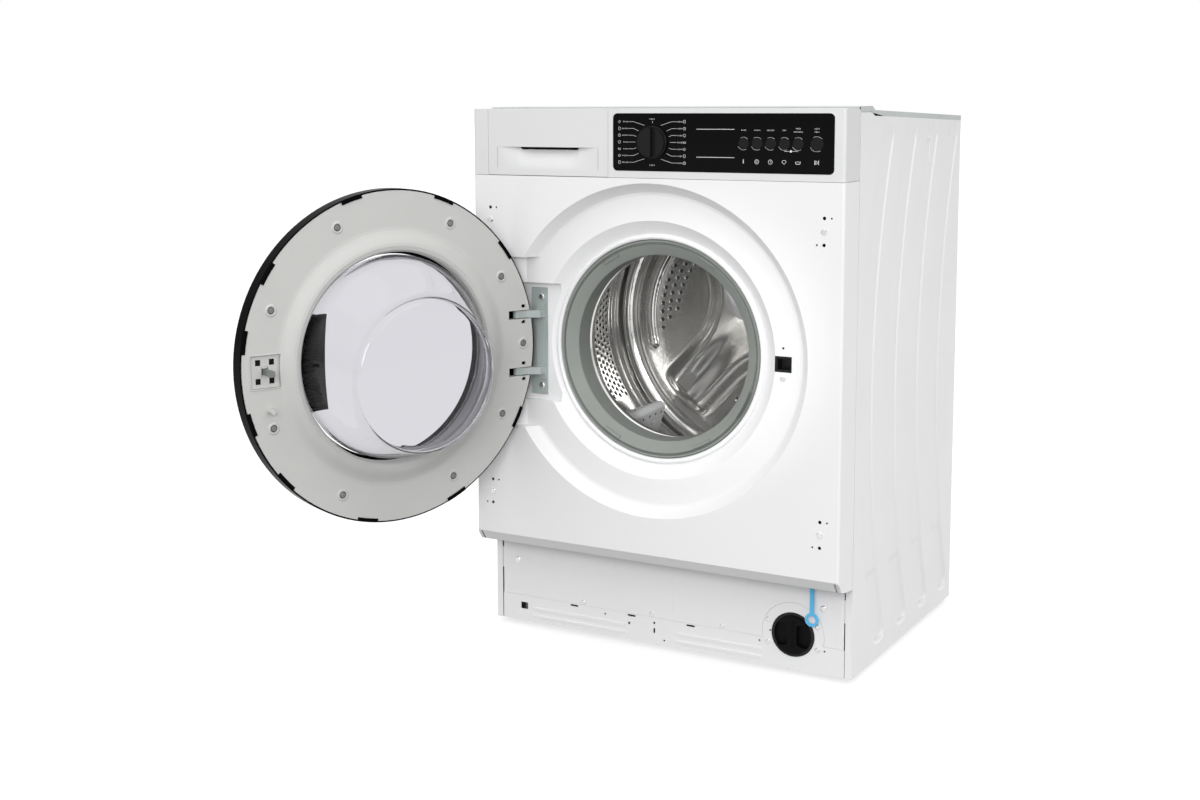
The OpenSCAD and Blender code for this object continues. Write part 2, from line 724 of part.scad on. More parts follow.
module apron_holes() {
    for (x = apron_slots)
        at(x, joint_z - 3, kick_y - 2) linear_extrude(6) rounded(14, 3, 1.4);
    at(50 - half_w, 24.5, kick_y - 2) linear_extrude(6) rounded(13, 11, 1);
    for (p = apron_drillings)
        at(p[0], p[1], kick_y - 2) cylinder(r = p[2], h = 6);
    at(apron_drillings[1][0], 21, kick_y - 2) linear_extrude(6) rounded(3, 8, 1.4);
    for (p = surround_screws)
        at(p[0], p[1], kick_y - 2) cylinder(r = 2 + seat, h = 6);
    for (x = apron_screws)
        at(x, apron_screw_z, kick_y - 2) cylinder(r = 2 + seat, h = 6);
}

surround_screws = [for (x = [-1, 1], z = [-1, 1]) [drain_x + x * 38.6, filter_z + z * 17]];

// Screw heads and shanks that show on the cabinet
module cabinet_screws() color(steel) at_front() {
    for (i = [0, 1])
        at(service_screws[i], service_screw_z, kick_y - (1 - i) * field_rise)
            screw(5, sheet_t + (1 - i) * field_rise, 2);
    for (x = apron_screws)
        at(x, apron_screw_z, kick_y) screw(4, sheet_t, 2);
    for (p = surround_screws)
        at(p[0], p[1], kick_y) screw(4, 6, 2);
    for (x = [-1, 1], z = furniture_z)
        at(x * furniture_x, z, 0) screw(4.5, 12, 2);
    at(latch_x, axis_z + latch_z - 21, recess_d) screw(4, 8, 2);
    for (s = [-1, 1])
        at(-bracket_x + 18, axis_z + s * bracket_hole, pocket_d - bracket_t) screw(4.5, 10, 2.5);
    for (a = [45 : 90 : 315])
        at((cover_r - 7) * cos(a), axis_z - cover_drop + (cover_r - 7) * sin(a), body_d + sheet_t)
            mirror([0, 0, 1]) screw(4, 6, 2);
}

// Interlock behind the recess, with the slot that the hook enters and the release lever
lever_y = 43.4;
module door_lock() color(black) at_front() difference() {
    union() {
        translate([dish_r + 0.7, recess_d + sheet_t + seat, axis_z + latch_z - 40]) cube([40, 22, 76]);
        translate([latch_x + 10, lever_y - 3, axis_z - 74]) cube([strap_x + 8 - latch_x - 10, 3, 30]);
        translate([latch_x + 10, recess_d + 18, axis_z - 54]) cube([8, lever_y - recess_d - 18, 10]);
    }
    translate([latch_x - 9, 0, axis_z + latch_z - 8]) cube([20, recess_d + 18, 16]);
    at(latch_x, axis_z + latch_z - 21, 0) cylinder(r = 2 + seat, h = recess_d + 10);
}

// Channel plate with two arms, bored for the hinge pins
module hinge_bracket() color(steel) at_front() difference() {
    union() {
        translate([-bracket_x, pocket_d - bracket_t, axis_z - bracket_h])
            cube([bracket_w, bracket_t, 2 * bracket_h]);
        translate([-bracket_x + 11, pocket_d - bracket_t - 4, axis_z - 58]) cube([bracket_w - 13, 4, 116]);
        for (s = [-1, 1])
            translate([0, 0, axis_z + s * arm_z - arm_h / 2]) linear_extrude(arm_h) {
                translate([-hinge_x, -hinge_y]) circle(arm_r);
                polygon([[-hinge_x + 3.4, -hinge_y - 4.95], [-hinge_x + 12, 2], [-bracket_x + 24, 12],
                    [-bracket_x + 26, pocket_d], [-bracket_x + 13, pocket_d], [-bracket_x + 12, 15],
                    [-hinge_x + 2, 4], [-hinge_x - 4.5, -hinge_y + 4]]);
            }
    }
    for (s = [-1, 1])
        at(-bracket_x + 18, axis_z + s * bracket_hole, 0) cylinder(r = 2.5 + seat, h = 40);
    for (s = [-1, 1])
        translate([-hinge_x, -hinge_y, axis_z + s * arm_z - arm_h])
            cylinder(r = hinge_pin_r + run, h = 2 * arm_h);
}

// Rubber gasket: a bead in the front panel's hole, a mouth lip and sleeve, a bellows and four pads
lip_r = mouth_r - 1;
pad_angles = [60, 121, 240, 298];
pad_turn = 5.4;
module gasket() color(rubber_grey) at_front() on_axis() {
    revolve([[hole_r - seat, rim_d + 2], [hole_r - 2, rim_d - 1], [hole_r - 4, rim_d - 0.5],
        [hole_r - 5, rim_d + 1], [hole_r - 7, rim_d + 1], [hole_r - 8, rim_d - 0.5],
        [hole_r - 13, rim_d + 3], [lip_r + 2, rim_d + 10], [lip_r, rim_d + 12], [lip_r, drum_y - 5],
        [lip_r + 3, drum_y - 5], [lip_r + 3, rim_d + 15], [neck_r + 4, rim_d + 12],
        [neck_r + 7, neck_y - 4], [neck_r + 3 + seat, neck_y + 1], [neck_r + 3 + seat, neck_y + 8],
        [neck_r + 6 + seat, neck_y + 8], [neck_r + 6 + seat, neck_y + 3], [neck_r + 10, neck_y - 4],
        [hole_r - seat, rim_d + 6]]);
    for (a = pad_angles)
        turned(a + pad_turn) rotate_extrude(angle = 2 * pad_turn, $fn = 144) polygon([[hole_r - 8, rim_d + 2],
            [hole_r - 8, rim_d - 1], [hole_r - 8.6, rim_d - 1.5], [hole_r - 13.2, rim_d + 1.7],
            [hole_r - 13.6, rim_d + 2.6], [hole_r - 13, rim_d + 5]]);
}

// Wire that clamps the gasket, closed by a coil spring
clamp_r = hole_r - 6;
clamp_wire = 0.9;
clamp_y = rim_d - 0.1;
spring_mid = -27;
spring_span = 17;
coil_wire = 0.5;
coil_r = 2.2;
coil_turns = 26;
coil_rings = 8;
coil_sides = 6;

// A tube swept round a centre line that winds along an arc or a straight line
function frame_at(p, i) = unit(p[min(i + 1, len(p) - 1)] - p[max(i - 1, 0)]);
function side_of(t, up) = unit(cross(t, up));
module swept(p, r, sides, up) {
    n = len(p);
    rings = [for (i = [0 : n - 1]) let (t = frame_at(p, i), a = side_of(t, up(p[i])), b = cross(a, t))
        for (k = [0 : sides - 1]) p[i] + r * (a * cos(360 * k / sides) + b * sin(360 * k / sides))];
    quads = [for (i = [0 : n - 2], k = [0 : sides - 1]) let (a = i * sides, m = (k + 1) % sides)
        each [[a + k, a + m, a + sides + k], [a + m, a + sides + m, a + sides + k]]];
    starts = [for (k = [1 : sides - 2]) [0, k + 1, k]];
    ends = [for (k = [1 : sides - 2]) [(n - 1) * sides, (n - 1) * sides + k, (n - 1) * sides + k + 1]];
    polyhedron(concat(rings), concat(quads, starts, ends));
}

// Points of a coil whose axis runs along the clamp's circle
function clamp_dir(a) = [cos(a), -sin(a), 0];
function clamp_coil(i) =
    let (u = i / (coil_turns * coil_rings),
        a = spring_mid + spring_span / 2 - spring_span * u,
        w = 360 * i / coil_rings,
        d = clamp_dir(a))
    d * (clamp_r + coil_r * cos(w)) + [0, 0, clamp_y - 2.6 + coil_r * sin(w)];
clamp_points = [for (i = [0 : coil_turns * coil_rings]) clamp_coil(i)];
function least_gap(p, skip, wire) =
    min([for (i = [0 : len(p) - 1 - skip]) norm(p[i] - p[i + skip])]) - 2 * wire;
echo(clamp_spring_gap = least_gap(clamp_points, coil_rings, coil_wire));

module gasket_clamp() color(steel) at_front() on_axis() {
    ends = spring_span / 2 + 1.2;
    turned(spring_mid + ends) rotate_extrude(angle = -(360 - 2 * ends), $fn = 144)
        translate([clamp_r, clamp_y]) circle(clamp_wire, $fn = 24);
    swept(clamp_points, coil_wire, coil_sides, function(q) unit([q[0], q[1], 0]));
}

// Tub halves
module tub_front() color(grey) at_front() on_axis() {
    revolve(wall([[neck_r, neck_y], [neck_r, tub_y + 3], [tub_in - 14, tub_y + 3], [tub_in, tub_y + 14],
        [tub_in, tub_split]], -tub_t));
    // Joint flange
    difference() {
        translate([0, 0, tub_split - 7]) cylinder(r = tub_r + 9, h = 7);
        translate([0, 0, tub_split - 8]) cylinder(r = tub_r - 1, h = 9);
    }
}

// Ear that hangs from a suspension spring
module spring_ear(x)
    translate([x * hang_x, axis_z - ear_z, hang_y]) difference() {
        translate([-15, 0, -15]) cube([30, ear_z - axis_z - 60, 30]);
        translate([-16, 4, -12]) cube([32, ear_z - axis_z, 24]);
        translate([0, -cut, 0]) rotate([-90, 0, 0]) cylinder(r = 5, h = 4 + 2 * cut);
    }

module tub_rear() color(grey) at_front() on_axis() difference() {
    union() {
        revolve(wall([[tub_in, tub_split + seat], [tub_in, tub_back - 20], [tub_in - 18, tub_back - 3],
            [hub_r + 2, tub_back - 3]], -tub_t));
        difference() {
            translate([0, 0, tub_split + seat]) cylinder(r = tub_r + 9, h = 7);
            translate([0, 0, tub_split - 1]) cylinder(r = tub_r - 1, h = 10);
        }
        translate([0, 0, tub_back - 5]) cylinder(r = hub_r + 9, h = hub_end - tub_back + 5);
        for (x = [-1, 1])
            spring_ear(x);
        // Ribs on the back
        for (a = [0 : 30 : 330])
            turned(a) translate([hub_r + 5, -1.5, tub_back - 1]) cube([tub_in - hub_r - 25, 3, 14]);
        for (r = [95, 165])
            difference() {
                translate([0, 0, tub_back - 1]) cylinder(r = r + 1.5, h = 14);
                translate([0, 0, tub_back - 2]) cylinder(r = r - 1.5, h = 16);
            }
        // Bosses for the transit bolts
        for (x = [-1, 1], z = transit_z)
            translate([x * transit_x, axis_z - z, tub_back - 1]) cylinder(r = 14, h = 19);
    }
    translate([0, 0, tub_back - 6]) cylinder(r = hub_r + run, h = hub_end);
    translate([0, 0, tub_split - 20]) cylinder(r = tub_in, h = tub_back - tub_split);
    translate([0, 0, tub_split - 20]) cylinder(r = hub_r + 45, h = tub_back - 3 - tub_split + 20 - 2);
    for (x = [-1, 1], z = transit_z)
        translate([x * transit_x, axis_z - z, tub_back + 1.5]) cylinder(r = 6 + run, h = 40);
    translate([0, rod_z, tub_back - 28]) linear_extrude(50) rounded(70 + 2 * seat, 20 + 2 * seat, 9);
}

// Front ring weight in two halves and the saddle weight on top of the tub
ring_in = 184;
ring_out = 248;
module counterweights() color(concrete) at_front() {
    on_axis() for (a = [0, 180])
        turned(a) difference() {
            translate([0, 0, tub_y - 26]) cylinder(r = ring_out, h = 26 - seat);
            translate([0, 0, tub_y - 27]) cylinder(r = ring_in, h = 30);
            translate([-ring_out - 1, -4, tub_y - 30]) cube([2 * ring_out + 2, ring_out + 10, 40]);
        }
    difference() {
        translate([-52, tub_y + 20, axis_z + tub_r - 40]) cube([230, 130, 92]);
        on_axis() cylinder(r = tub_r + seat, h = body_d);
    }
}

// Suspension springs, wound as one wire each, with straight hooked ends
spring_wire = 1.8;
spring_r = 11;
spring_turns = 16;
spring_pitch = 5.2;
spring_top = hang_z - 6;
spring_len = spring_turns * spring_pitch;
function spring_point(i) =
    let (n = spring_turns * coil_rings, w = 360 * i / coil_rings)
    [spring_r * cos(w), spring_r * sin(w), -spring_len * i / n];
spring_points = [for (i = [0 : spring_turns * coil_rings]) spring_point(i)];
echo(suspension_spring_gap = least_gap(spring_points, coil_rings, spring_wire));
ear_drop = 9;
ear_z = spring_top - 10 - spring_len - ear_drop;

module suspension_springs() color(steel) at_front()
    for (s = [-1, 1])
        translate([s * hang_x, hang_y, spring_top - 10]) {
            swept(spring_points, spring_wire, coil_sides, function(q) [0, 0, 1]);
            // Eyes at both ends
            translate([0, 0, 1]) cylinder(r = spring_r + 1, h = 4);
            translate([0, 0, 4]) cylinder(r = 3, h = 22);
            translate([0, 0, 19 + seat]) cylinder(r = 8, h = 3);
            translate([0, 0, -spring_len - 5]) cylinder(r = spring_r + 1, h = 4);
            translate([0, 0, -spring_len - 20]) cylinder(r = 3, h = 16);
            translate([0, 0, -spring_len - ear_drop - 4 - seat - 3]) cylinder(r = 8, h = 3);
        }

// Friction dampers that stand on the floor pan and carry the tub's lower sides
damper_inset = 113;
damper_x = half_w - damper_inset;
damper_y = tub_split + 42;
damper_base = 16;
damper_tube = 130;
module dampers() color(black) at_front()
    for (s = [-1, 1]) {
        difference() {
            translate([s * damper_x, damper_y, damper_tube / 2]) cylinder(r = 7, h = axis_z);
            on_axis() cylinder(r = tub_r + seat, h = body_d);
        }
        translate([s * damper_x, damper_y, 10]) cylinder(r = 13, h = damper_tube);
        translate([s * damper_x - damper_base, damper_y - damper_base, 1])
            cube([2 * damper_base, 2 * damper_base, 9]);
    }

// Heating rod under the drum, entering through the tub's back
rod_z = drum_out + tub_gap / 2;
module heater() color(steel) at_front() on_axis() {
    for (s = [-1, 1])
        translate([s * 22, rod_z, drum_y + 60]) cylinder(r = 3.2, h = tub_back - drum_y - 60);
    translate([0, rod_z, drum_y + 60]) rotate([-90, 0, 0]) rotate_extrude(angle = 180)
        translate([22, 0]) circle(3.2, $fn = 32);
    translate([0, rod_z, tub_back - 8]) linear_extrude(14) rounded(70, 20, 9);
    for (s = [-1, 1])
        translate([s * 22, rod_z, tub_back]) cylinder(r = 3.5, h = 22);
}

// Drain pump with its filter housing behind the apron
module drain_pump() color(black) at_front() {
    at(drain_x, filter_z, kick_y - 1) difference() {
        union() {
            cylinder(r = ring_r, h = 4);
            translate([0, 0, 3]) cylinder(r = cap_r + 8, h = 90);
        }
        translate([0, 0, -cut]) cylinder(r = cap_r + seat, h = 24);
        translate([0, 0, 10]) cylinder(r = cap_r - 2, h = 75);
    }
    at(drain_x, filter_z, kick_y + 92) cylinder(r = 32, h = 55);
    translate([drain_x, kick_y + 60, filter_z + cap_r + 4]) cylinder(r = 14, h = 18);
    at(drain_x + 22, filter_z - 12, kick_y + 147) cylinder(r = 10, h = 14);
}

// Filter cap with a ribbed grip bar
module filter_cap() color(black) at_front() at(drain_x, filter_z, kick_y - 4) {
    difference() {
        cylinder(r = cap_r, h = 22);
        for (s = [-1, 1])
            translate([s * (cap_r / 2 + 4), 0, -cut]) linear_extrude(9) intersection() {
                circle(cap_r / 2 + 3);
                square([cap_r * 0.8, 2 * cap_r], center = true);
            }
    }
    for (i = [-3 : 3])
        translate([-3.4, i * 6 - 1, -1]) cube([6.8, 2, 2]);
}

// Water hoses inside the cabinet
module tube(r, h) difference() {
    cylinder(r = r, h = h);
    translate([0, 0, -cut]) cylinder(r = r - 2.5, h = h + 2 * cut);
}
module hoses() color(black) at_front() {
    // Dispenser to tub
    difference() {
        translate([drawer_mid, housing_end - 30, axis_z + 120])
            cylinder(r = 13, h = tray_z - 4 - axis_z - 120);
        on_axis() cylinder(r = tub_r + seat, h = body_d);
    }
    // Tub to pump
    difference() {
        translate([drain_x, kick_y + 60, filter_z + cap_r + 22 + seat]) cylinder(r = 15, h = axis_z - 200);
        on_axis() cylinder(r = tub_r + seat, h = body_d);
    }
    // Inlet valve to dispenser
    at(drawer_mid - 40, tray_z + tray_h - 6, housing_end + 16 + seat)
        tube(8, body_d - 60 - housing_end - 16 - 2 * seat);
    // Pump to drain outlet
    hose_x = drain_x + 22;
    hose_z = filter_z - 12;
    at(hose_x, hose_z, kick_y + 161 + seat) tube(10, rear_y - 60 - kick_y - 161 - seat);
    translate([hose_x, rear_y - 60, hose_z + 25]) rotate([90, 0, 90]) rotate([0, 0, -90])
        rotate_extrude(angle = 90) translate([25, 0]) circle(10, $fn = 48);
    translate([hose_x, rear_y - 35, hose_z + 25])
        cylinder(r = 10, h = outlet_z - hose_z - 25 - outlet_r - 3 - seat);
}

// Drain outlet through the back panel
module drain_outlet() color(grey) at_front() {
    difference() {
        union() {
            at(outlet_x, outlet_z, rear_y - 50) cylinder(r = outlet_r + 3, h = 50);
            at(outlet_x, outlet_z, rear_y - 2 - seat) cylinder(r = outlet_r + 8, h = 2);
            at(outlet_x, outlet_z, rear_y) cylinder(r = outlet_r, h = 36);
        }
        at(outlet_x, outlet_z, rear_y - 46) cylinder(r = outlet_r - 2.5, h = 90);
    }
}

// Water inlet valve with its threaded spigot at the back
module inlet_valve() color(white) at_front() {
    difference() {
        union() {
            translate([inlet_x - 22, rear_y - 58, inlet_z - 22]) cube([44, 58 - seat, 40]);
            at(inlet_x, inlet_z, rear_y - 2) cylinder(r = inlet_r, h = 20);
        }
        at(inlet_x, inlet_z, rear_y - 30) cylinder(r = inlet_r - 3, h = 60);
    }
    at(inlet_x - 8, inlet_z, rear_y - 80) cylinder(r = 8, h = 22);
}

// Belt motor under the tub
module motor() color(steel) at_front() {
    at(motor_x, motor_z, motor_y) {
        cylinder(r = motor_r, h = motor_len);
        cylinder(r = 7, h = pulley_y + pulley_t + 6 - motor_y);
    }
    difference() {
        translate([motor_x - 50, motor_y + 20, motor_z]) cube([100, 50, 90]);
        on_axis() cylinder(r = tub_r + seat, h = body_d);
    }
}

module motor_pulley() color(steel) at_front() at(motor_x, motor_z, pulley_y - 2) difference() {
    cylinder(r = motor_pulley_r, h = pulley_t + 4);
    translate([0, 0, -cut]) cylinder(r = 7 + run, h = pulley_t + 12);
}

// Ball bearings of the drum shaft
module bearings() color(steel) at_front() on_axis()
    for (y = [tub_back - 4, hub_end - 16])
        translate([0, 0, y]) difference() {
            cylinder(r = hub_r, h = 16);
            translate([0, 0, -cut]) cylinder(r = shaft_r + run, h = 16 + 2 * cut);
        }

module cord_gland() color(black) at_front() at(gland_x, gland_z, rear_y - 8) difference() {
    union() {
        cylinder(r = 12, h = 8 - seat);
        cylinder(r = 9, h = 20);
        translate([0, 0, 8 + sheet_t + seat]) cylinder(r = 12, h = 4);
    }
    translate([0, 0, -cut]) cylinder(r = 4.5, h = 30);
}

// Bolts and spacers that lock the tub for transport
module transit_bolts() color(steel) at_front()
    for (x = [-1, 1], z = transit_z)
        at(x * transit_x, z, tub_back + 2) {
            cylinder(r = 6, h = rear_y - tub_back - 2);
            translate([0, 0, 16 + seat]) cylinder(r = 10, h = rear_y - tub_back - 18 + sheet_t - seat);
            translate([0, 0, rear_y - tub_back - 2 + sheet_t]) cylinder(r = 14, h = 2);
            translate([0, 0, rear_y - tub_back + sheet_t]) cylinder(r = 9, h = 7, $fn = 6);
        }

// Flat outline of a belt round two pulleys
drive = [motor_x, axis_z - motor_z];
drive_len = norm(drive);
drive_turn = atan2(drive[1], drive[0]);
function belt_line(grow) =
    let (big = pulley_r + grow, small = motor_pulley_r + grow, a = acos((big - small) / drive_len))
    concat(arc([0, 0], big, a, 360 - a, 72), arc([drive_len, 0], small, -a, a, 24));
module belt() color(black) at_front() on_axis() translate([0, 0, pulley_y + (pulley_t - belt_w) / 2])
    linear_extrude(belt_w) rotate(drive_turn) difference() {
        polygon(belt_line(seat + belt_t));
        polygon(belt_line(seat));
    }

// Drum wall with three fields of holes between the lifters, and two grooves near the back
groove_y = drum_back_y - 62;
module drum_wall() color(steel) at_front() on_axis() difference() {
    revolve(wall([[drum_r, drum_y + 16], [drum_r, groove_y], [drum_r - 3, groove_y + 3],
        [drum_r - 3, groove_y + 10], [drum_r, groove_y + 13], [drum_r, groove_y + 20],
        [drum_r - 3, groove_y + 23], [drum_r - 3, groove_y + 30], [drum_r, groove_y + 33],
        [drum_r, drum_back_y - 6]], -sheet_t));
    for (f = lifter_angles, i = [0 : 8], j = [0 : 7])
        turned(f + 24 + i * 9 + (j % 2) * 4.5) translate([drum_r - 3, 0, drum_y + 40 + j * 24])
            rotate([0, 90, 0]) cylinder(r = perf_r, h = 6);
}

module drum_front() color(steel) at_front() on_axis()
    revolve(wall([[mouth_r, drum_y + 12], [mouth_r, drum_y + 3], [mouth_r + 3, drum_y],
        [mouth_r + 10, drum_y], [mouth_r + 22, drum_y + 5], [drum_r - 12, drum_y + 7],
        [drum_r - 3, drum_y + 15.5], [drum_r, drum_y + 15.5]], sheet_t));

// Back plate with a raised three-armed star, three long beads and three slanted groups of holes
star_rise = 16;
star_end = 190;
star_half = 50;
star_hub = 83;
group_r = 164.5;
group_pitch = 14;
bead_mid = 187;
bead_half = 7;
bead_turn = 28;
bead_rise = 2.4;
module drum_back() color(steel) at_front() on_axis() {
    difference() {
        revolve(wall([[drum_r, drum_back_y - 5.5], [drum_r - 8, drum_back_y - 1],
            [0.01, drum_back_y - 1]], -sheet_t));
        for (a = lifter_angles)
            turned(a + 60) hole_group();
    }
    translate([0, 0, drum_back_y - 1]) mirror([0, 0, 1]) {
        star();
        for (a = lifter_angles)
            turned(a + 60) back_bead();
    }
}

// Three columns of holes round the axis, each one row shorter than the last
module hole_group()
    for (i = [0 : 2], j = [0 : 8 - i]) {
        r = group_r - i * group_pitch;
        turned(19.7 - 6.5 * i - j * group_pitch / r * 180 / PI)
            translate([r, 0, drum_back_y - 10]) cylinder(r = 3, h = 20);
    }

// Star with a round hub and arms that have two ridges and a channel, lower towards their ends
module star()
    intersection() {
        union() {
            cylinder(r1 = star_hub, r2 = star_hub - star_rise, h = star_rise);
            for (a = lifter_angles)
                turned(a) rotate([90, 0, 90]) linear_extrude(star_end)
                    polygon([[-star_half, 0], [star_half, 0], [star_half - 12, star_rise],
                        [star_half - 24, star_rise], [star_half - 34, star_rise - 6],
                        [34 - star_half, star_rise - 6], [24 - star_half, star_rise],
                        [12 - star_half, star_rise]]);
        }
        revolve([[0, 0], [star_end, 0], [star_end - 10, star_rise * 0.6],
            [star_hub - 20, star_rise], [0, star_rise]]);
    }

module back_bead() {
    turned(bead_turn) rotate_extrude(angle = 2 * bead_turn, $fn = 144)
        translate([bead_mid, 0]) polygon([[-bead_half, 0], [bead_half, 0], [bead_half - 3, bead_rise],
            [3 - bead_half, bead_rise]]);
    for (s = [-1, 1])
        turned(s * bead_turn) translate([bead_mid, 0, 0])
            cylinder(r1 = bead_half, r2 = bead_half - 3, h = bead_rise, $fn = 32);
}

// Hollow moulded lifters that lift the load
lifter_w = 66;
lifter_h = 56;
lifter_crest = 12;
lifter_y = drum_y + 18;
lifter_len = 201;
module drum_lifters() color(white) at_front() on_axis()
    for (a = lifter_angles)
        turned(a) intersection() {
            translate([0, 0, lifter_y]) linear_extrude(lifter_len)
                polygon(concat([[drum_r + 1, -lifter_w / 2], [drum_r - 8, -lifter_w / 2]],
                    arc([drum_r - lifter_h + lifter_crest, 0], lifter_crest, 240, 120, 6),
                    [[drum_r - 8, lifter_w / 2], [drum_r + 1, lifter_w / 2]]));
            translate([0, 0, lifter_y - cut]) cylinder(r = drum_r - seat, h = lifter_len + 2 * cut);
            translate([0, lifter_w, lifter_y]) rotate([90, 0, 0]) linear_extrude(2 * lifter_w)
                polygon([[drum_r + 1, 0], [drum_r - 20, 0], [drum_r - lifter_h, 30],
                    [drum_r - lifter_h, lifter_len - 3], [drum_r - lifter_h + 20, lifter_len],
                    [drum_r + 1, lifter_len]]);
        }

// Cast three-armed spider with the drum shaft
module drum_spider() color(steel) at_front() on_axis() {
    difference() {
        union() {
            for (a = lifter_angles)
                turned(a) translate([0, 0, drum_back_y + seat]) linear_extrude(9)
                    polygon([[0, -24], [drum_r - 14, -13], [drum_r - 14, 13], [0, 24]]);
            translate([0, 0, drum_back_y + seat]) cylinder(r = 46, h = 12);
        }
        translate([0, 0, drum_back_y - 1]) cylinder(r = 10, h = 4);
    }
    translate([0, 0, drum_back_y + 8]) cylinder(r = shaft_r, h = pulley_y + pulley_t + 4 - drum_back_y - 8);
}

module drum_pulley() color(steel) at_front() on_axis() difference() {
    union() {
        revolve([[pulley_r - 12, pulley_y], [pulley_r, pulley_y], [pulley_r, pulley_y + pulley_t],
            [pulley_r - 12, pulley_y + pulley_t]]);
        translate([0, 0, pulley_y + 5]) cylinder(r = pulley_r - 6, h = 7);
        translate([0, 0, pulley_y - 4]) cylinder(r = pulley_hub, h = pulley_t + 6);
    }
    translate([0, 0, pulley_y - 6]) cylinder(r = shaft_r + run, h = pulley_t + 12);
    for (a = [0 : 60 : 300])
        turned(a + 30) translate([80, 0, pulley_y]) cylinder(r = 32, h = pulley_t);
}

// Door ring: black outer shell with the clips that hold the inner disc
rim_t = 2.2;
clip_angles = [10, 34, 74, 111, 143, 208, 245, 282, 318, 342];
clip_turn = 4;
module door_outer() color(black) on_door() difference() {
    at(0, axis_z) {
        revolve([[port_r - 4, door_out], [door_r - 4, door_out], [door_r, door_out + 5],
            [door_r, door_in - 1.5], [door_r - rim_t, door_in - 1.5], [door_r - rim_t, door_out + 6],
            [door_r - 5, door_out + rim_t], [port_r - 1.5, door_out + rim_t],
            [port_r - 1.5, door_out + 14], [port_r - 4, door_out + 14]]);
        for (a = clip_angles)
            turned(a + clip_turn) rotate_extrude(angle = 2 * clip_turn, $fn = 144) polygon([
                [door_r - rim_t + 0.3, door_in - 2.5], [door_r - 0.8, door_in - 2.5],
                [door_r - 0.8, door_in + 1.3], [door_r - 6.2, door_in + 1.3],
                [door_r - 6.2, door_in + seat], [door_r - rim_t + 0.3, door_in + seat]]);
    }
    // Notches for the hinge arms
    for (s = [-1, 1])
        translate([-door_r - 1, door_out + 8, axis_z + s * arm_z - arm_h / 2 - 1.5])
            cube([12, door_t, arm_h + 3]);
}

// Door ring: pale inner disc with a swept ring round the glass
sweep_n = 6;
disc_line = concat(
    [[disc_r, door_in - 4], [disc_r, door_in]],
    [for (i = [0 : sweep_n]) [190 - 27 * i / sweep_n, door_in + 5 * (1 - cos(180 * i / sweep_n))]],
    [[port_r + 3, door_in + 8.5], [port_r, door_in + 5], [port_r, door_in - 10]]);
peg_x = 201;
peg_z = -57.6;
module door_inner() color(grey) on_door() {
    difference() {
        union() {
            at(0, axis_z) revolve(wall(disc_line, shell_t));
            // Hinge lugs
            for (s = [-1, 1], t = [-1, 1])
                translate([-hinge_x - 6.5, -hinge_y - 6.5, axis_z + s * arm_z + t * (arm_h / 2 + 3.2) - 2])
                    cube([28, door_in + hinge_y + 5.5, 4]);
            // Walls of the latch recess
            translate([hook_x - 25, door_in - 14, axis_z + hook_z - 25.5]) cube([50, 13, 51]);
            // Peg that rests on the recess when the door is shut
            at(peg_x, axis_z + peg_z, door_in - 1) cylinder(r1 = 4.5, r2 = 3.8, h = 13);
        }
        for (s = [-1, 1])
            translate([-door_r - 1, door_out, axis_z + s * arm_z - arm_h / 2 - 1.2])
                cube([door_r + 1 - notch_in, door_t + 1, arm_h + 2.4]);
        for (s = [-1, 1])
            translate([-hinge_x, -hinge_y, axis_z + s * arm_z - arm_h])
                cylinder(r = hinge_pin_r + run, h = 2 * arm_h);
        translate([hook_x - 23, door_in - 11, axis_z + hook_z - 23.5]) cube([46, 12, 47]);
        for (a = screw_angles)
            at(0, axis_z, door_in - 6) turned(a) translate([screw_r, 0, 0]) cylinder(r = 2 + seat, h = 10);
        at(-hinge_screw_x, axis_z, door_in - 6) cylinder(r = 2 + seat, h = 10);
        // Small square holes beside the hinge arms
        for (z = [57, 33, -31, -55])
            translate([-229, door_in - 3, axis_z + z - 2.5]) cube([7, 5, 5]);
    }
    // Lugs that hold the hook's pin
    for (s = [-1, 1])
        translate([0, 0, axis_z + hook_z + s * 6.3 - 1.5]) difference() {
            translate([hook_x - 4, door_in - 12, 0]) cube([8, 9, 3]);
            translate([hook_pin[0], hook_pin[1], -cut]) cylinder(r = hook_pin_r + run, h = 3 + 2 * cut);
        }
}

// Glass bowl with a slanted domed end
bowl_r = port_r - 5;
bowl_end = 124;
dome_r = 420;
bowl_tilt = 8;
module bowl_form(inset)
    intersection() {
        union() {
            translate([0, 0, door_in - 6]) cylinder(r = bowl_r - inset, h = 8.01);
            translate([0, 0, door_in + 2])
                cylinder(r1 = bowl_r - inset, r2 = bowl_end - inset, h = bowl_d + 10);
        }
        translate([0, 0, door_in + bowl_d - inset]) rotate([0, bowl_tilt, 0])
            translate([0, 0, -dome_r]) sphere(r = dome_r, $fn = 200);
    }
module door_glass() color([0.85, 0.88, 0.9, 0.35]) on_door() at(0, axis_z) difference() {
    union() {
        bowl_form(0);
        translate([0, 0, door_in - 8]) cylinder(r = port_r - seat, h = 4);
    }
    bowl_form(glass_t);
    translate([0, 0, door_in - 20]) cylinder(r = bowl_r - glass_t, h = 15);
}

// Ridged grip at the latch side of the opening
module door_grip() color(black) on_door() at(0, axis_z) {
    turned(28) rotate_extrude(angle = 56, $fn = 144)
        polygon([[port_r - 14, door_out + 3], [port_r - 5, door_out + 3],
            [port_r - 5, door_in - 8 - seat], [port_r - 14, door_in - 8 - seat]]);
    for (a = [-26 : 2 : 26])
        turned(a) translate([port_r - 15, -0.9, door_out + 4]) cube([2, 1.8, door_t - 14]);
}

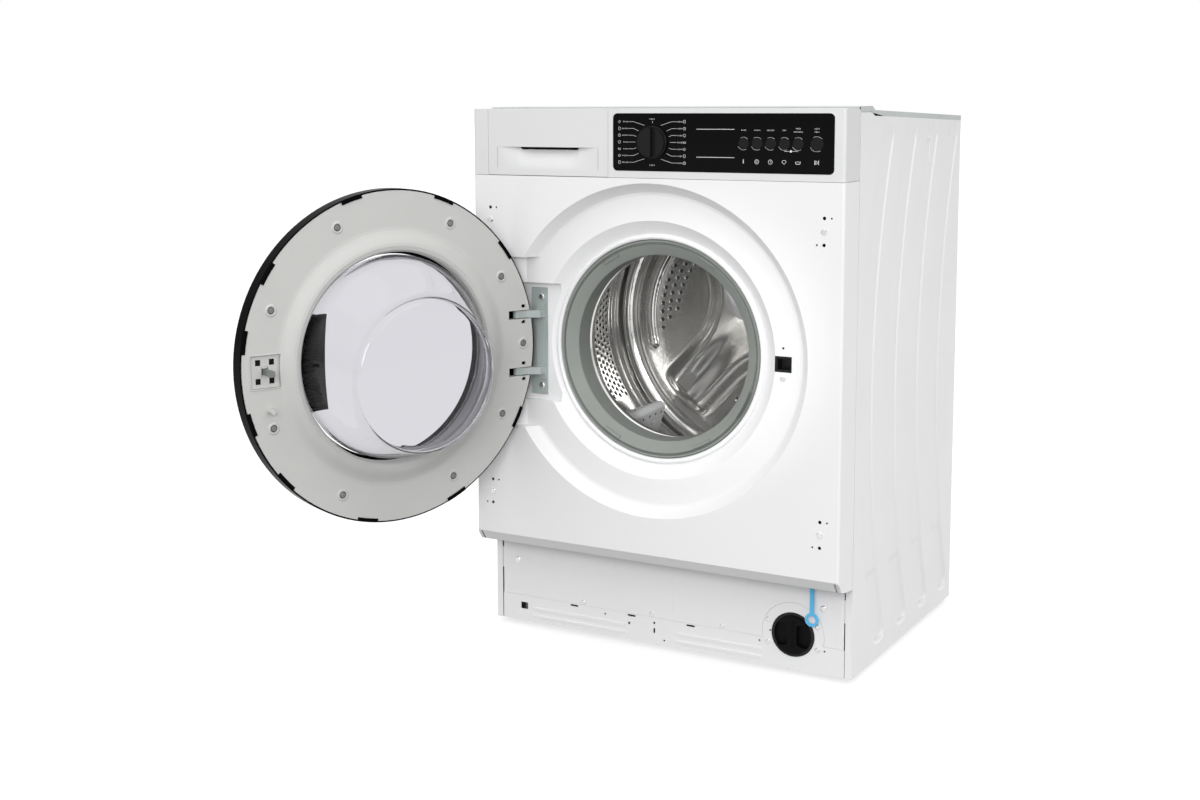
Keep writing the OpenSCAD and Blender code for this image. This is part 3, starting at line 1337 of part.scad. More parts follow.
// Screws, hinge pins and the hook's pin
module door_screws() color(steel) on_door() {
    for (a = screw_angles)
        at(0, axis_z, door_in) turned(a) translate([screw_r, 0, 0]) mirror([0, 0, 1]) screw(4, 8, 2);
    at(-hinge_screw_x, axis_z, door_in) mirror([0, 0, 1]) screw(4, 8, 2);
    for (s = [-1, 1])
        translate([-hinge_x, -hinge_y, axis_z + s * arm_z - arm_h / 2 - 4.5])
            cylinder(r = hinge_pin_r, h = arm_h + 9);
    translate([hook_pin[0], hook_pin[1], axis_z + hook_z - 8]) cylinder(r = hook_pin_r, h = 16);
}

// Sprung steel hook that enters the lock
hook_pin = [hook_x, door_in - 7];
hook_pin_r = 1.5;
module latch_hook() color(steel) on_door() translate([0, 0, axis_z + hook_z - 4]) difference() {
    linear_extrude(8) union() {
        translate(hook_pin) circle(3.5);
        polygon([[hook_x - 3, door_in - 7], [hook_x + 3, door_in - 7], [hook_x + 2.4, door_in + 20],
            [hook_x + 7, door_in + 20], [hook_x + 4, door_in + 25], [hook_x - 2.6, door_in + 25]]);
    }
    translate([hook_pin[0], hook_pin[1], -cut]) cylinder(r = hook_pin_r + run, h = 12);
}

// Emergency release strap with a pull ring
module pull_strap() color(blue) at_front() {
    at(strap_x, 81, 52) difference() {
        cylinder(r = 10, h = 2);
        translate([0, 0, -cut]) cylinder(r = 6, h = 4);
    }
    translate([strap_x - 3, 0, 0]) rotate([90, 0, 90]) linear_extrude(6)
        polygon(wall([[52.4, 90], [52.4, axis_z - 170], [lever_y + seat, axis_z - 90],
            [lever_y + seat, axis_z - 62]], -1.2));
}

// Adjustable foot: rubber pad and threaded stem
module foot(x, y)
    at_front() translate([x * foot_x, foot_y[y], -foot_gap]) {
        cylinder(r = foot_pad_r, h = 5);
        translate([0, 0, 5]) cylinder(r = foot_thread_r, h = foot_gap - 5 + 30);
    }
module foot_front_left() color(black) foot(-1, 0);
module foot_front_right() color(black) foot(1, 0);
module foot_rear_left() color(black) foot(-1, 1);
module foot_rear_right() color(black) foot(1, 1);

side_panel_left();
side_panel_right();
back_panel();
back_cover();
top_cover();
front_panel();
control_fascia();
control_window();
service_panel();
base_pan();
door_lock();
hinge_bracket();
gasket();
gasket_clamp();
tub_front();
tub_rear();
counterweights();
suspension_springs();
dampers();
heater();
drain_pump();
hoses();
drain_outlet();
inlet_valve();
dispenser_housing();
control_board();
motor();
bearings();
cord_gland();
transit_bolts();
cabinet_screws();
belt();
drum_wall();
drum_front();
drum_back();
drum_lifters();
drum_spider();
drum_pulley();
motor_pulley();
program_dial();
button_1();
button_2();
button_3();
button_4();
button_5();
start_button();
drawer_front();
drawer_tray();
door_outer();
door_inner();
door_glass();
door_grip();
door_screws();
latch_hook();
filter_cap();
pull_strap();
foot_front_left();
foot_front_right();
foot_rear_left();
foot_rear_right();
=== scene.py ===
# Looks of an integrated front-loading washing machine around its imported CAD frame.
# Sizes are millimetres in the cabinet's own frame: x from the middle, depth from the front face,
# height from the floor pan. They become metres in point().
import json
import math

import bmesh
import bpy
from mathutils import Matrix, Vector
from mathutils.geometry import delaunay_2d_cdt


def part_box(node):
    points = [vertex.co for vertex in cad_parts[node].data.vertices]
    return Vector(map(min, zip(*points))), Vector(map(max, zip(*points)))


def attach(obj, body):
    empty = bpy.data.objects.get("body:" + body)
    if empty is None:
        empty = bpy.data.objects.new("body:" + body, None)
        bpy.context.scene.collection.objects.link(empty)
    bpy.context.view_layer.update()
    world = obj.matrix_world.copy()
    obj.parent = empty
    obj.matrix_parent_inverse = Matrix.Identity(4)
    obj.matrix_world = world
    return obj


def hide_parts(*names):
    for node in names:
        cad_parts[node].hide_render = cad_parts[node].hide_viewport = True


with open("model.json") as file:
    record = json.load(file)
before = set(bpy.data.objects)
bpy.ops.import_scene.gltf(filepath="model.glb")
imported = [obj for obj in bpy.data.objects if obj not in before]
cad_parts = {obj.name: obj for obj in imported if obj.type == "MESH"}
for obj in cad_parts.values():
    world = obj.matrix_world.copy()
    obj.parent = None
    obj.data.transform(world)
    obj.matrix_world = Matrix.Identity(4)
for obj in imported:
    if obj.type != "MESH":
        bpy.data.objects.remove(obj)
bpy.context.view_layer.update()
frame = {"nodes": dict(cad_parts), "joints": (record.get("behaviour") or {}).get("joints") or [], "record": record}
NODES = frame["nodes"]
scene = bpy.context.scene

MM = 0.001
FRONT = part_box("front_panel")[0].y
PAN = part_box("base_pan")[0].z
AXIS = (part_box("drum_wall")[0].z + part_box("drum_wall")[1].z) / 2 / MM - PAN / MM
HALF_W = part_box("front_panel")[1].x / MM


def point(x, depth, z):
    """A point of the cabinet's frame in metres."""
    return Vector((x * MM, FRONT + depth * MM, PAN + z * MM))


# Pieces of the door are made as the door stands closed, and this turns them open, as it is at rest
HINGE = next(j for j in frame["joints"] if j["name"] == "door_hinge")
OPEN = math.radians(HINGE["range_deg"][1])
PIN = Vector(HINGE["pos_m"])
ON_DOOR = Matrix.Translation(PIN) @ Matrix.Rotation(-OPEN, 4, "Z") @ Matrix.Translation(-PIN)


# Materials

def material(name, colour, roughness, metallic=0.0, **sockets):
    """A new node material and its shader, with uniform values set on the shader's own sockets."""
    made = bpy.data.materials.new(name)
    made.use_nodes = True
    shader = made.node_tree.nodes["Principled BSDF"]
    shader.inputs["Base Color"].default_value = (*colour, 1)
    shader.inputs["Roughness"].default_value = roughness
    shader.inputs["Metallic"].default_value = metallic
    for socket, value in sockets.items():
        shader.inputs[socket.replace("_", " ")].default_value = value
    return made, shader


def add(tree, kind, **inputs):
    """A new shader node with the values of its inputs."""
    node = tree.nodes.new("ShaderNode" + kind)
    for name, value in inputs.items():
        node.inputs[name].default_value = value
    return node


def pattern(tree, kind, scale, stretch=(1, 1, 1), **inputs):
    """A texture on the piece's own coordinates, with features of 1/scale metres."""
    where = add(tree, "TexCoord")
    mapping = add(tree, "Mapping", Scale=stretch)
    tree.links.new(where.outputs["Object"], mapping.inputs["Vector"])
    texture = add(tree, kind, Scale=scale, **inputs)
    tree.links.new(mapping.outputs["Vector"], texture.inputs["Vector"])
    return texture


def ramp(tree, source, low, high, start=0.3, end=0.7):
    """Spreads a texture's value between two colours or two numbers."""
    node = tree.nodes.new("ShaderNodeValToRGB")
    low, high = [(v, v, v) if isinstance(v, (int, float)) else v for v in (low, high)]
    node.color_ramp.elements[0].position = start
    node.color_ramp.elements[0].color = (*low, 1)
    node.color_ramp.elements[1].position = end
    node.color_ramp.elements[1].color = (*high, 1)
    tree.links.new(source, node.inputs["Fac"])
    return node.outputs["Color"]


def grain(made, shader, scale, strength, height, stretch=(1, 1, 1)):
    """Relief of a surface: fine bumps of 1/scale metres across and height metres high."""
    tree = made.node_tree
    texture = pattern(tree, "TexNoise", scale, stretch)
    relief = add(tree, "Bump", Strength=strength, Distance=height)
    tree.links.new(texture.outputs["Fac"], relief.inputs["Height"])
    tree.links.new(relief.outputs["Normal"], shader.inputs["Normal"])


def vary(made, shader, socket, scale, low, high, detail=3.0):
    """Uneven colour or roughness over the surface."""
    tree = made.node_tree
    texture = pattern(tree, "TexNoise", scale, Detail=detail)
    tree.links.new(ramp(tree, texture.outputs["Fac"], low, high), shader.inputs[socket])


def tone(colour, spread):
    """A colour made a little darker and a little lighter."""
    return [tuple(min(1, c * k) for c in colour) for k in (1 - spread, 1 + spread)]


def painted(name, colour, roughness, coat=0.0):
    """Sprayed enamel: faint orange peel, and gloss that changes a little over the panel."""
    made, shader = material(name, colour, roughness, Coat_Weight=coat, Coat_Roughness=0.12)
    grain(made, shader, 420, 0.12, 0.00012)
    vary(made, shader, "Roughness", 14, roughness * 0.88, roughness * 1.14)
    vary(made, shader, "Base Color", 2.3, *tone(colour, 0.012))
    return made


def moulded(name, colour, roughness, scale, height, spread, gloss=0.5, index=1.5):
    """Moulded plastic or rubber: a fine eroded grain and a cloudy change of tone."""
    made, shader = material(name, colour, roughness, Specular_IOR_Level=gloss, IOR=index)
    grain(made, shader, scale, 0.35, height)
    vary(made, shader, "Roughness", 60, roughness * 0.85, min(1, roughness * 1.15))
    vary(made, shader, "Base Color", 9, *tone(colour, spread))
    return made


def rolled(name, colour, roughness, metallic, height, stretch):
    """Rolled or brushed metal: long fine scratches and soft clouds in the gloss."""
    made, shader = material(name, colour, roughness, metallic)
    grain(made, shader, 900, 0.18, height, stretch)
    vary(made, shader, "Roughness", 26, roughness * 0.7, roughness * 1.35)
    vary(made, shader, "Base Color", 12, *tone(colour, 0.05))
    return made


def galvanised(name):
    """Hot-dip zinc: spangles of different tone and gloss, with a fine tooth."""
    made, shader = material(name, (0.55, 0.58, 0.59), 0.4, 0.85)
    tree = made.node_tree
    spangles = pattern(tree, "TexVoronoi", 105).outputs["Color"]
    tree.links.new(ramp(tree, spangles, (0.44, 0.48, 0.485), (0.63, 0.655, 0.66), 0.1, 0.9),
                   shader.inputs["Base Color"])
    tree.links.new(ramp(tree, spangles, 0.28, 0.48, 0.1, 0.9), shader.inputs["Roughness"])
    grain(made, shader, 1500, 0.25, 0.00004)
    return made


def cast(name, colour, roughness, metallic):
    """A cast surface with pores."""
    made, shader = material(name, colour, roughness, metallic)
    grain(made, shader, 380, 0.5, 0.0003)
    vary(made, shader, "Base Color", 40, *tone(colour, 0.14), detail=8.0)
    vary(made, shader, "Roughness", 90, roughness * 0.85, min(1, roughness * 1.1))
    return made


def clear_glass(name):
    """Clear glass that bends the light a little less than window glass does."""
    made, shader = material(name, (0.615, 0.61, 0.645), 0.015, IOR=1.33, Transmission_Weight=1.0)
    vary(made, shader, "Roughness", 18, 0.008, 0.03)
    return made


# Of moulded(): colour, roughness, bumps in a metre, their height in metres, spread of the tone
LOOKS = {
    "cabinet_white": painted("enamel", (0.80, 0.80, 0.805), 0.34, coat=0.2),
    "fascia_white": moulded("white moulding", (0.69, 0.69, 0.69), 0.4, 1600, 0.00006, 0.01),
    "window_black": moulded("black window", (0.0022, 0.0022, 0.0027), 0.12, 300, 0.00001, 0.1, gloss=0.07),
    "dial_black": moulded("black knob", (0.004, 0.004, 0.0045), 0.34, 1800, 0.00008, 0.1, gloss=0.2),
    "button_black": moulded("black button", (0.004, 0.004, 0.0045), 0.25, 1200, 0.00003, 0.1, gloss=0.2),
    "zinc_sheet": galvanised("galvanised sheet"),
    "bright_steel": rolled("plated steel", (0.66, 0.66, 0.66), 0.26, 1.0, 0.00004, (1, 1, 60)),
    "drum_steel": rolled("drum steel", (0.66, 0.655, 0.64), 0.12, 0.86, 0.000001, (1, 14, 1)),
    "motor_steel": cast("motor steel", (0.2, 0.2, 0.21), 0.5, 0.6),
    "cast_alloy": cast("cast alloy", (0.5, 0.51, 0.52), 0.45, 0.9),
    "gasket_grey": moulded("grey rubber", (0.235, 0.25, 0.232), 0.5, 900, 0.00016, 0.05, gloss=0.35),
    "hose_black": moulded("black rubber hose", (0.02, 0.02, 0.02), 0.6, 700, 0.0002, 0.2),
    "foot_black": moulded("black rubber foot", (0.022, 0.022, 0.022), 0.65, 900, 0.0002, 0.2),
    "tub_grey": moulded("filled plastic", (0.10, 0.105, 0.10), 0.5, 1100, 0.0002, 0.05),
    "lifter_white": moulded("lifter plastic", (0.93, 0.935, 0.94), 0.42, 1400, 0.0001, 0.02),
    "moulded_black": moulded("black moulding", (0.006, 0.006, 0.0065), 0.4, 1500, 0.0001, 0.15, gloss=0.25),
    "filter_black": moulded("black filter plastic", (0.003, 0.0025, 0.003), 0.5, 1300, 0.0001, 0.15,
                            gloss=0.08),
    "strap_blue": moulded("blue strap plastic", (0.10, 0.47, 0.80), 0.42, 1500, 0.00008, 0.05),
    "board_green": moulded("potted board", (0.02, 0.1, 0.05), 0.4, 500, 0.0002, 0.1),
    "concrete": cast("cast concrete", (0.3, 0.29, 0.27), 0.9, 0.0),
    "door_black": moulded("gloss black ring", (0.003, 0.003, 0.0035), 0.2, 260, 0.00001, 0.1, gloss=0.14,
                          index=1.1),
    "door_grey": moulded("textured door plastic", (0.50, 0.50, 0.485), 0.55, 1700, 0.00022, 0.02),
    "door_glass": clear_glass("door glass"),
}
PRINT = moulded("white print", (0.62, 0.62, 0.61), 0.45, 1500, 0.00003, 0.05)
# Painted shade: near-black for the inside of holes, gaps and slots, a dark grey for the screws' pits and cross
# slots, and a dark rubber for the lines round the gasket's pads
PAINTED_GAP_SHADE = moulded("painted recess shade", (0.004, 0.004, 0.004), 0.7, 900, 0.0001, 0.2, gloss=0.1)
PIT_PAINTED_SHADE = moulded("painted pit shade grey", (0.07, 0.07, 0.068), 0.5, 1500, 0.0001, 0.05)
PAD_SHADE = moulded("shaded rubber", (0.12, 0.13, 0.12), 0.6, 900, 0.0001, 0.05)
LID_ZINC = moulded("plain zinc", (0.50, 0.53, 0.525), 0.4, 700, 0.00004, 0.05)
LED = moulded("lamp window", (0.75, 0.75, 0.74), 0.3, 900, 0.00003, 0.02)
PASSIVATED = moulded("passivated steel", (0.34, 0.385, 0.375), 0.34, 700, 0.00004, 0.12)
SCREW_STEEL = moulded("screw steel", (0.15, 0.165, 0.16), 0.36, 700, 0.00004, 0.12)
CLAMP_STEEL = moulded("clamp wire", (0.12, 0.132, 0.125), 0.4, 700, 0.00004, 0.12)

SLOT_OF = {part["node"]: part["material_slot"] for part in frame["record"]["subparts"]}
OWN_LOOK = {"hinge_bracket": PASSIVATED, "door_screws": SCREW_STEEL, "gasket_clamp": CLAMP_STEEL,
            "latch_hook": SCREW_STEEL, "top_cover": LID_ZINC}
for name, node in NODES.items():
    node.data.materials.clear()
    node.data.materials.append(OWN_LOOK.get(name) or LOOKS[SLOT_OF[name]])


# Mesh helpers

SQUARE = ((-1, -1), (1, -1), (1, 1), (-1, 1))


def new_object(name, data):
    """An object that is linked to the scene."""
    made = bpy.data.objects.new(name, data)
    scene.collection.objects.link(made)
    return made


def piece(name, mesh, look, body, on_door=False):
    """Puts a bmesh into the scene as a piece that rides on a body."""
    data = bpy.data.meshes.new(name)
    bmesh.ops.recalc_face_normals(mesh, faces=mesh.faces)
    mesh.to_mesh(data)
    mesh.free()
    if on_door:
        data.transform(ON_DOOR)
    made = new_object(name, data)
    data.materials.append(look)
    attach(made, body)
    return made


def smooth(made, angle=35):
    """Smooth shading between sharp edges, each normal led by the larger faces round it."""
    made.data.polygons.foreach_set("use_smooth", [True] * len(made.data.polygons))
    made.data.set_sharp_from_angle(angle=math.radians(angle))
    weighted = made.modifiers.new("weighted normals", "WEIGHTED_NORMAL")
    weighted.mode = "FACE_AREA"
    weighted.keep_sharp = True


for node in NODES.values():
    smooth(node)


def thicken(made, thickness, side):
    """Gives a single sheet its thickness, to the side that its normals show (1) or don't (-1)."""
    thick = made.modifiers.new("thickness", "SOLIDIFY")
    thick.thickness = thickness * MM
    thick.offset = side


def round_axis(radius, angle, depth, drop=0.0):
    """A point round the drum's axis, its angle in radians as seen from the front."""
    return point(radius * math.cos(angle), depth, AXIS + radius * math.sin(angle) - drop)


def bridge(mesh, rows, closed=False):
    """Faces from each row of points to the next. A row is closed into a ring where it says so."""
    for low, high in zip(rows, rows[1:]):
        n = len(low)
        for i in range(n if closed else n - 1):
            j = (i + 1) % n
            mesh.faces.new((low[i], low[j], high[j], high[i]))


def strip(mesh, corners, lift, normal):
    """A thin plate: its outline's points, raised by lift along normal."""
    low = [mesh.verts.new(c) for c in corners]
    high = [mesh.verts.new(Vector(c) + Vector(normal) * lift * MM) for c in corners]
    mesh.faces.new(low)
    mesh.faces.new(high)
    bridge(mesh, [low, high], True)


def sheet(mesh, surface, us, vs, closed=False):
    """A grid of faces over a surface of two parameters, and its rows of points."""
    rows = [[mesh.verts.new(surface(u, v)) for u in us] for v in vs]
    bridge(mesh, rows, closed)
    return rows


def cup(mesh, place, rings, n=20):
    """A turned form: rings of radius and lift round place(across, up, lift), and their points."""
    turns = [2 * math.pi * k / n for k in range(n)]
    loops = [[mesh.verts.new(place(r * math.cos(t), r * math.sin(t), lift)) for t in turns]
             for r, lift in rings]
    bridge(mesh, loops, True)
    return loops


def spaced(start, end, n):
    """n + 1 values with the same step between them."""
    return [start + (end - start) * i / n for i in range(n + 1)]


def eased(t):
    """Smooth step from 0 to 1."""
    t = min(1.0, max(0.0, t))
    return t * t * (3 - 2 * t)


# Camera, as the photograph sees the machine

FOCAL_PX = 1678.0
PHOTO_W = 1200
PHOTO_H = 800
PRINCIPAL = (500, 300)
EYE = point(1093.6, -2180.9, 847.5)
AZIMUTH = math.radians(31.7)
ELEVATION = math.radians(7.18)
ROLL = math.radians(-0.51)

lens = bpy.data.cameras.new("camera")
lens.sensor_width = 36
lens.lens = FOCAL_PX * lens.sensor_width / PHOTO_W
lens.shift_x = (PHOTO_W / 2 - PRINCIPAL[0]) / PHOTO_W
lens.shift_y = (PRINCIPAL[1] - PHOTO_H / 2) / PHOTO_W
camera = new_object("camera", lens)
back = Vector((math.sin(AZIMUTH) * math.cos(ELEVATION), -math.cos(AZIMUTH) * math.cos(ELEVATION),
               math.sin(ELEVATION)))
right = Vector((math.cos(AZIMUTH), math.sin(AZIMUTH), 0))
up = back.cross(right)
turned = Matrix((right, up, back)).transposed() @ Matrix.Rotation(ROLL, 3, "Z")
camera.matrix_world = Matrix.Translation(EYE) @ turned.to_4x4()
scene.camera = camera


# Studio: a pale floor, a bright surround that the camera sees as white, and soft boxes

SURROUND_LOW = (0.13, 0.13, 0.13)
SURROUND_HIGH = (0.96, 0.96, 0.965)
SURROUND_SPAN = (-0.35, 0.5)
CENTRE = (0, 0, 0.42)
SPOT_AIM = point(-25, 250, AXIS - 30)
FLOOR_SIZE = 30.0
FLOOR_GLOW = 0.68

scene.view_settings.view_transform = "Standard"
world = bpy.data.worlds.new("studio")
scene.world = world
world.use_nodes = True
tree = world.node_tree
surround = tree.nodes["Background"]
where = add(tree, "TexCoord")
split = add(tree, "SeparateXYZ")
tree.links.new(where.outputs["Generated"], split.inputs["Vector"])
height = add(tree, "MapRange")
height.inputs["From Min"].default_value, height.inputs["From Max"].default_value = SURROUND_SPAN
tree.links.new(split.outputs["Z"], height.inputs["Value"])
tree.links.new(ramp(tree, height.outputs["Result"], SURROUND_LOW, SURROUND_HIGH, 0.0, 1.0),
               surround.inputs["Color"])
surround.inputs["Strength"].default_value = 1.3
white = add(tree, "Background", Color=(1, 1, 1, 1), Strength=1.0)
path = add(tree, "LightPath")
mix = add(tree, "MixShader")
tree.links.new(path.outputs["Is Camera Ray"], mix.inputs["Fac"])
tree.links.new(surround.outputs["Background"], mix.inputs[1])
tree.links.new(white.outputs["Background"], mix.inputs[2])
tree.links.new(mix.outputs["Shader"], tree.nodes["World Output"].inputs["Surface"])


def aim(made, at, target):
    """Places a lamp and turns it towards a point."""
    made.location = at
    made.rotation_euler = (Vector(target) - Vector(at)).to_track_quat("-Z", "Y").to_euler()


def soft_box(name, at, size, watts):
    """A rectangular lamp that faces the machine."""
    light = bpy.data.lights.new(name, "AREA")
    light.shape = "RECTANGLE"
    light.size, light.size_y = size
    light.energy = watts
    aim(new_object(name, light), at, CENTRE)


soft_box("key", (0.85, -2.8, 1.15), (1.0, 1.0), 29)
soft_box("overhead", (0.2, -1.2, 3.0), (2.6, 2.0), 8)
soft_box("fill", (3.0, -1.0, 1.4), (1.4, 1.8), 13)
drum_light = bpy.data.lights.new("drum light", "SPOT")
drum_light.energy = 85
drum_light.spot_size = math.radians(9.4)
drum_light.spot_blend = 0.35
drum_light.shadow_soft_size = 0.10
drum_lamp = new_object("drum light", drum_light)
drum_lamp.visible_glossy = False
aim(drum_lamp, (0.75, -2.25, 0.85), SPOT_AIM)

floor_mesh = bmesh.new()
bmesh.ops.create_grid(floor_mesh, x_segments=8, y_segments=8, size=FLOOR_SIZE)
floor_data = bpy.data.meshes.new("floor")
floor_mesh.to_mesh(floor_data)
floor_mesh.free()
floor = new_object("floor", floor_data)
paper = painted("floor paper", (0.36, 0.36, 0.36), 0.95)
glow = paper.node_tree.nodes["Principled BSDF"]
glow.inputs["Emission Color"].default_value = (1, 1, 1, 1)
glow.inputs["Emission Strength"].default_value = FLOOR_GLOW
glow.inputs["Specular IOR Level"].default_value = 0.0
floor_data.materials.append(paper)
floor.visible_diffuse = False


# The print on the control window: thin raised white ink, without any lettering

WINDOW_FACE = -0.3
INK = 0.12
DIAL = (7.3, 769)
BUTTON_Z = 768.4
BUTTONS = [148.7 + 20.2 * i for i in range(5)]
START = BUTTONS[-1] + 27.1
BUTTON_RING_R = 8.9
START_RING_R = 10.3
DISPLAY_ENDS = (76.7, 135)
DISPLAY_ROWS = (788.0, 748.5)
SCALE_ROWS = range(-3, 4)
ROW_PITCH = 9.8
LEADER_PITCH = ROW_PITCH * 0.82
SCALE_R = 27.5
STROKE_PITCH = 2.1
SIGN_Z = 743.2
LAMP = (219.2, 758.2)


def ink_plate(mesh, outline):
    """A printed shape in the window's plane: points of x and height."""
    strip(mesh, [point(x, WINDOW_FACE, z) for x, z in outline], INK, (0, -1, 0))


def ink_line(mesh, path, width):
    """A printed line along points of x and height."""
    for (xa, za), (xb, zb) in zip(path, path[1:]):
        length = math.hypot(xb - xa, zb - za)
        nx, nz = -(zb - za) / length * width / 2, (xb - xa) / length * width / 2
        ink_plate(mesh, [(xa + nx, za + nz), (xb + nx, zb + nz), (xb - nx, zb - nz), (xa - nx, za - nz)])


def arc_points(cx, cz, r, start, end, n):
    """Points of an arc in n steps, from one angle in degrees to another."""
    turns = [math.radians(a) for a in spaced(start, end, n)]
    return [(cx + r * math.cos(t), cz + r * math.sin(t)) for t in turns]


def ink_sign(mesh, x, z, lines, r=1.0):
    """A sign round a point: each line's points in units of r, and its width."""
    for path, width in lines:
        ink_line(mesh, [(x + r * dx, z + r * dz) for dx, dz in path], width)


def ink_stroke(mesh, x, z, tall, foot=None):
    """A short upright stroke, with a foot between two places beside it where they are given."""
    low, high = z - tall / 2, z + tall / 2
    ink_line(mesh, [(x, low), (x, high)], 0.55)
    if foot:
        ink_line(mesh, [(x + foot[0], low + 0.3), (x + foot[1], low + 0.3)], 0.4)


# Ring, clock, box, diamond and tub
DIAL_SIGNS = (
    [(arc_points(0, 0, 1, 0, 360, 14), 0.45)],
    [(arc_points(0, 0, 1, 0, 360, 14), 0.45), ([(0, 0.7), (0, 0), (0.6, 0)], 0.4)],
    [([(-0.7, -1), (-0.7, 1), (0.7, 1), (0.7, -1), (-0.7, -1)], 0.45)],
    [([(-1, 0), (0, 1), (1, 0), (0, -1), (-1, 0)], 0.45)],
    [([(-1, 0.6), (-0.7, -0.7), (0.7, -0.7), (1, 0.6)], 0.5), ([(-0.5, 0.1), (0, 0.5), (0.5, 0.1)], 0.4)],
)
# Bar, two rings, clock, cut stone, tub with water, and pause with play
BUTTON_SIGNS = (
    [([(0, -2.6), (0, 3.0)], 1.3)],
    [(arc_points(0, 0, 2.9, 0, 360, 18), 0.7), (arc_points(0, 0, 1.3, 30, 330, 10), 0.6)],
    [(arc_points(0, 0, 3.0, 0, 360, 18), 0.6), ([(0, 2.0), (0, 0), (1.6, 0)], 0.6)],
    [([(-3.3, 0.4), (-1.9, 2.4), (1.9, 2.4), (3.3, 0.4), (0, -3.0), (-3.3, 0.4)], 0.6)],
    [([(-3.6, 0.9), (-3.0, -2.4), (3.0, -2.4), (3.6, 0.9)], 0.7),
     ([(-3.6, 0.9), (-1.4, 0.3), (0, 1.4), (1.4, 0.3), (3.6, 0.9)], 0.55)],
    [([(-2.6, -3), (-2.6, 3)], 0.9), ([(2.9, -3), (2.9, 3)], 0.9),
     ([(-1.2, 2.6), (-1.2, -2.6), (1.8, 0), (-1.2, 2.6)], 0.6)],
)
# Strokes in each row above a button, and the rows' heights where there is one row or two
STROKES = ((4,), (5,), (6,), (3,), (4, 7), (4, 4))
STROKE_ROWS = {1: (787.0,), 2: (789.5, 785.0)}


def display_lines():
    """The display's edge above and below."""
    mesh = bmesh.new()
    for z in DISPLAY_ROWS:
        ink_line(mesh, [(x, z) for x in DISPLAY_ENDS], 0.8)
    piece("display_lines", mesh, PRINT, "cabinet")


def button_rings():
    """Two fine arcs round each button."""
    mesh = bmesh.new()
    for x in BUTTONS + [START]:
        r = START_RING_R if x == START else BUTTON_RING_R
        ink_line(mesh, arc_points(x, BUTTON_Z, r, 45, 120, 8), 0.35)
        ink_line(mesh, arc_points(x, BUTTON_Z, r, 205, 300, 10), 0.35)
    piece("button_rings", mesh, PRINT, "cabinet")


def dial_scale():
    """Leader lines, rows of short strokes, and small plain signs at the row ends."""
    mesh = bmesh.new()
    cx, cz = DIAL
    for k in SCALE_ROWS:
        z = cz + ROW_PITCH * k
        inner_z = k * LEADER_PITCH
        inner_x = math.sqrt(max(SCALE_R ** 2 - inner_z ** 2, 60.0))
        for side in (-1, 1):
            bend = cx + side * (SCALE_R + 4.0 + abs(k) * 0.2)
            ink_line(mesh, [(cx + side * inner_x, cz + inner_z), (bend - side * 1.5, z),
                            (bend + side * 6.5, z)], 0.45)
            row = 9.0 + 3.5 * ((k * 5 + side * 3) % 4) / 3
            for i in range(int(row / STROKE_PITCH)):
                at = bend + side * (8.5 + STROKE_PITCH * i)
                ink_stroke(mesh, at, z, 1.5 if (i + k) % 3 else 2.1, (-0.5, 0.9))
            sign_x = cx + side * (53.5 if side < 0 else 50.7)
            ink_sign(mesh, sign_x, z, DIAL_SIGNS[(k + 4 * (side > 0)) % 5], 2.0)
    for z in (cz + 33.2, cz - 33.0):
        for i in range(4):
            ink_stroke(mesh, cx - 4 + 2.3 * i, z, 2.0)
    ink_line(mesh, [(cx, cz + SCALE_R), (cx, cz + 30.0)], 0.6)
    piece("dial_scale", mesh, PRINT, "cabinet")


def button_signs():
    """Plain signs below the buttons, short strokes above them, and the lamp between two lines."""
    mesh = bmesh.new()
    for x, lines in zip(BUTTONS + [START], BUTTON_SIGNS):
        ink_sign(mesh, x, SIGN_Z, lines)
    for i, (x, counts) in enumerate(zip(BUTTONS + [START], STROKES)):
        for z, count in zip(STROKE_ROWS[len(counts)], counts):
            for j in range(count):
                at = x + 1.9 * (j - (count - 1) / 2)
                ink_stroke(mesh, at, z, 1.6 if (i + j) % 3 else 2.2, (-0.4, 0.8))
    for left, end in ((209.5, 217.0), (221.5, 229.5)):
        ink_line(mesh, [(left, LAMP[1]), (end, LAMP[1])], 0.5)
    piece("button_signs", mesh, PRINT, "cabinet")
    lamp = bmesh.new()
    ink_plate(lamp, arc_points(*LAMP, 1.7, 0, 330, 11))
    piece("lamp", lamp, LED, "cabinet")


display_lines()
button_rings()
dial_scale()
button_signs()


# The drum: pierced wall, pressed back plate and moulded lifters

DRUM_R = 237.0
DRUM_BACK = 387.0
DRUM_SHEET = 0.7
LIFTERS = (108, 228, 348)
STEEL = LOOKS["drum_steel"]

WALL_COLUMNS = [108.0 + 10.7 * i for i in range(21)]
WALL_ROUND = 132
WALL_HOLE = (2.9, 2.8 / DRUM_R, 0.7)
WALL_CLEAR = 14
# Depth and step in the radius, along the wall's front edge and along its two grooves and rear edge
WALL_START = ((101.5, -0.3), (103, 0.0), (WALL_COLUMNS[0], 0.0))
WALL_END = ((WALL_COLUMNS[-1], 0.0), (323, 0.0), (326, -0.8), (328.5, -3.0), (332, -3.8), (335.5, -3.0),
            (338, -0.8), (341, 0.0), (345, 0.0), (347.5, -0.8), (350, -3.0), (353, -3.8), (356, -3.0),
            (358.5, -0.8), (361, 0.0), (374, 0.0), (380.5, -1.6), (385, -5.5), (DRUM_BACK - 0.2, -10.0))


def from_lifter(degrees):
    """Degrees between an angle round the axis and the nearest lifter."""
    return min(abs((degrees - a + 180) % 360 - 180) for a in LIFTERS)


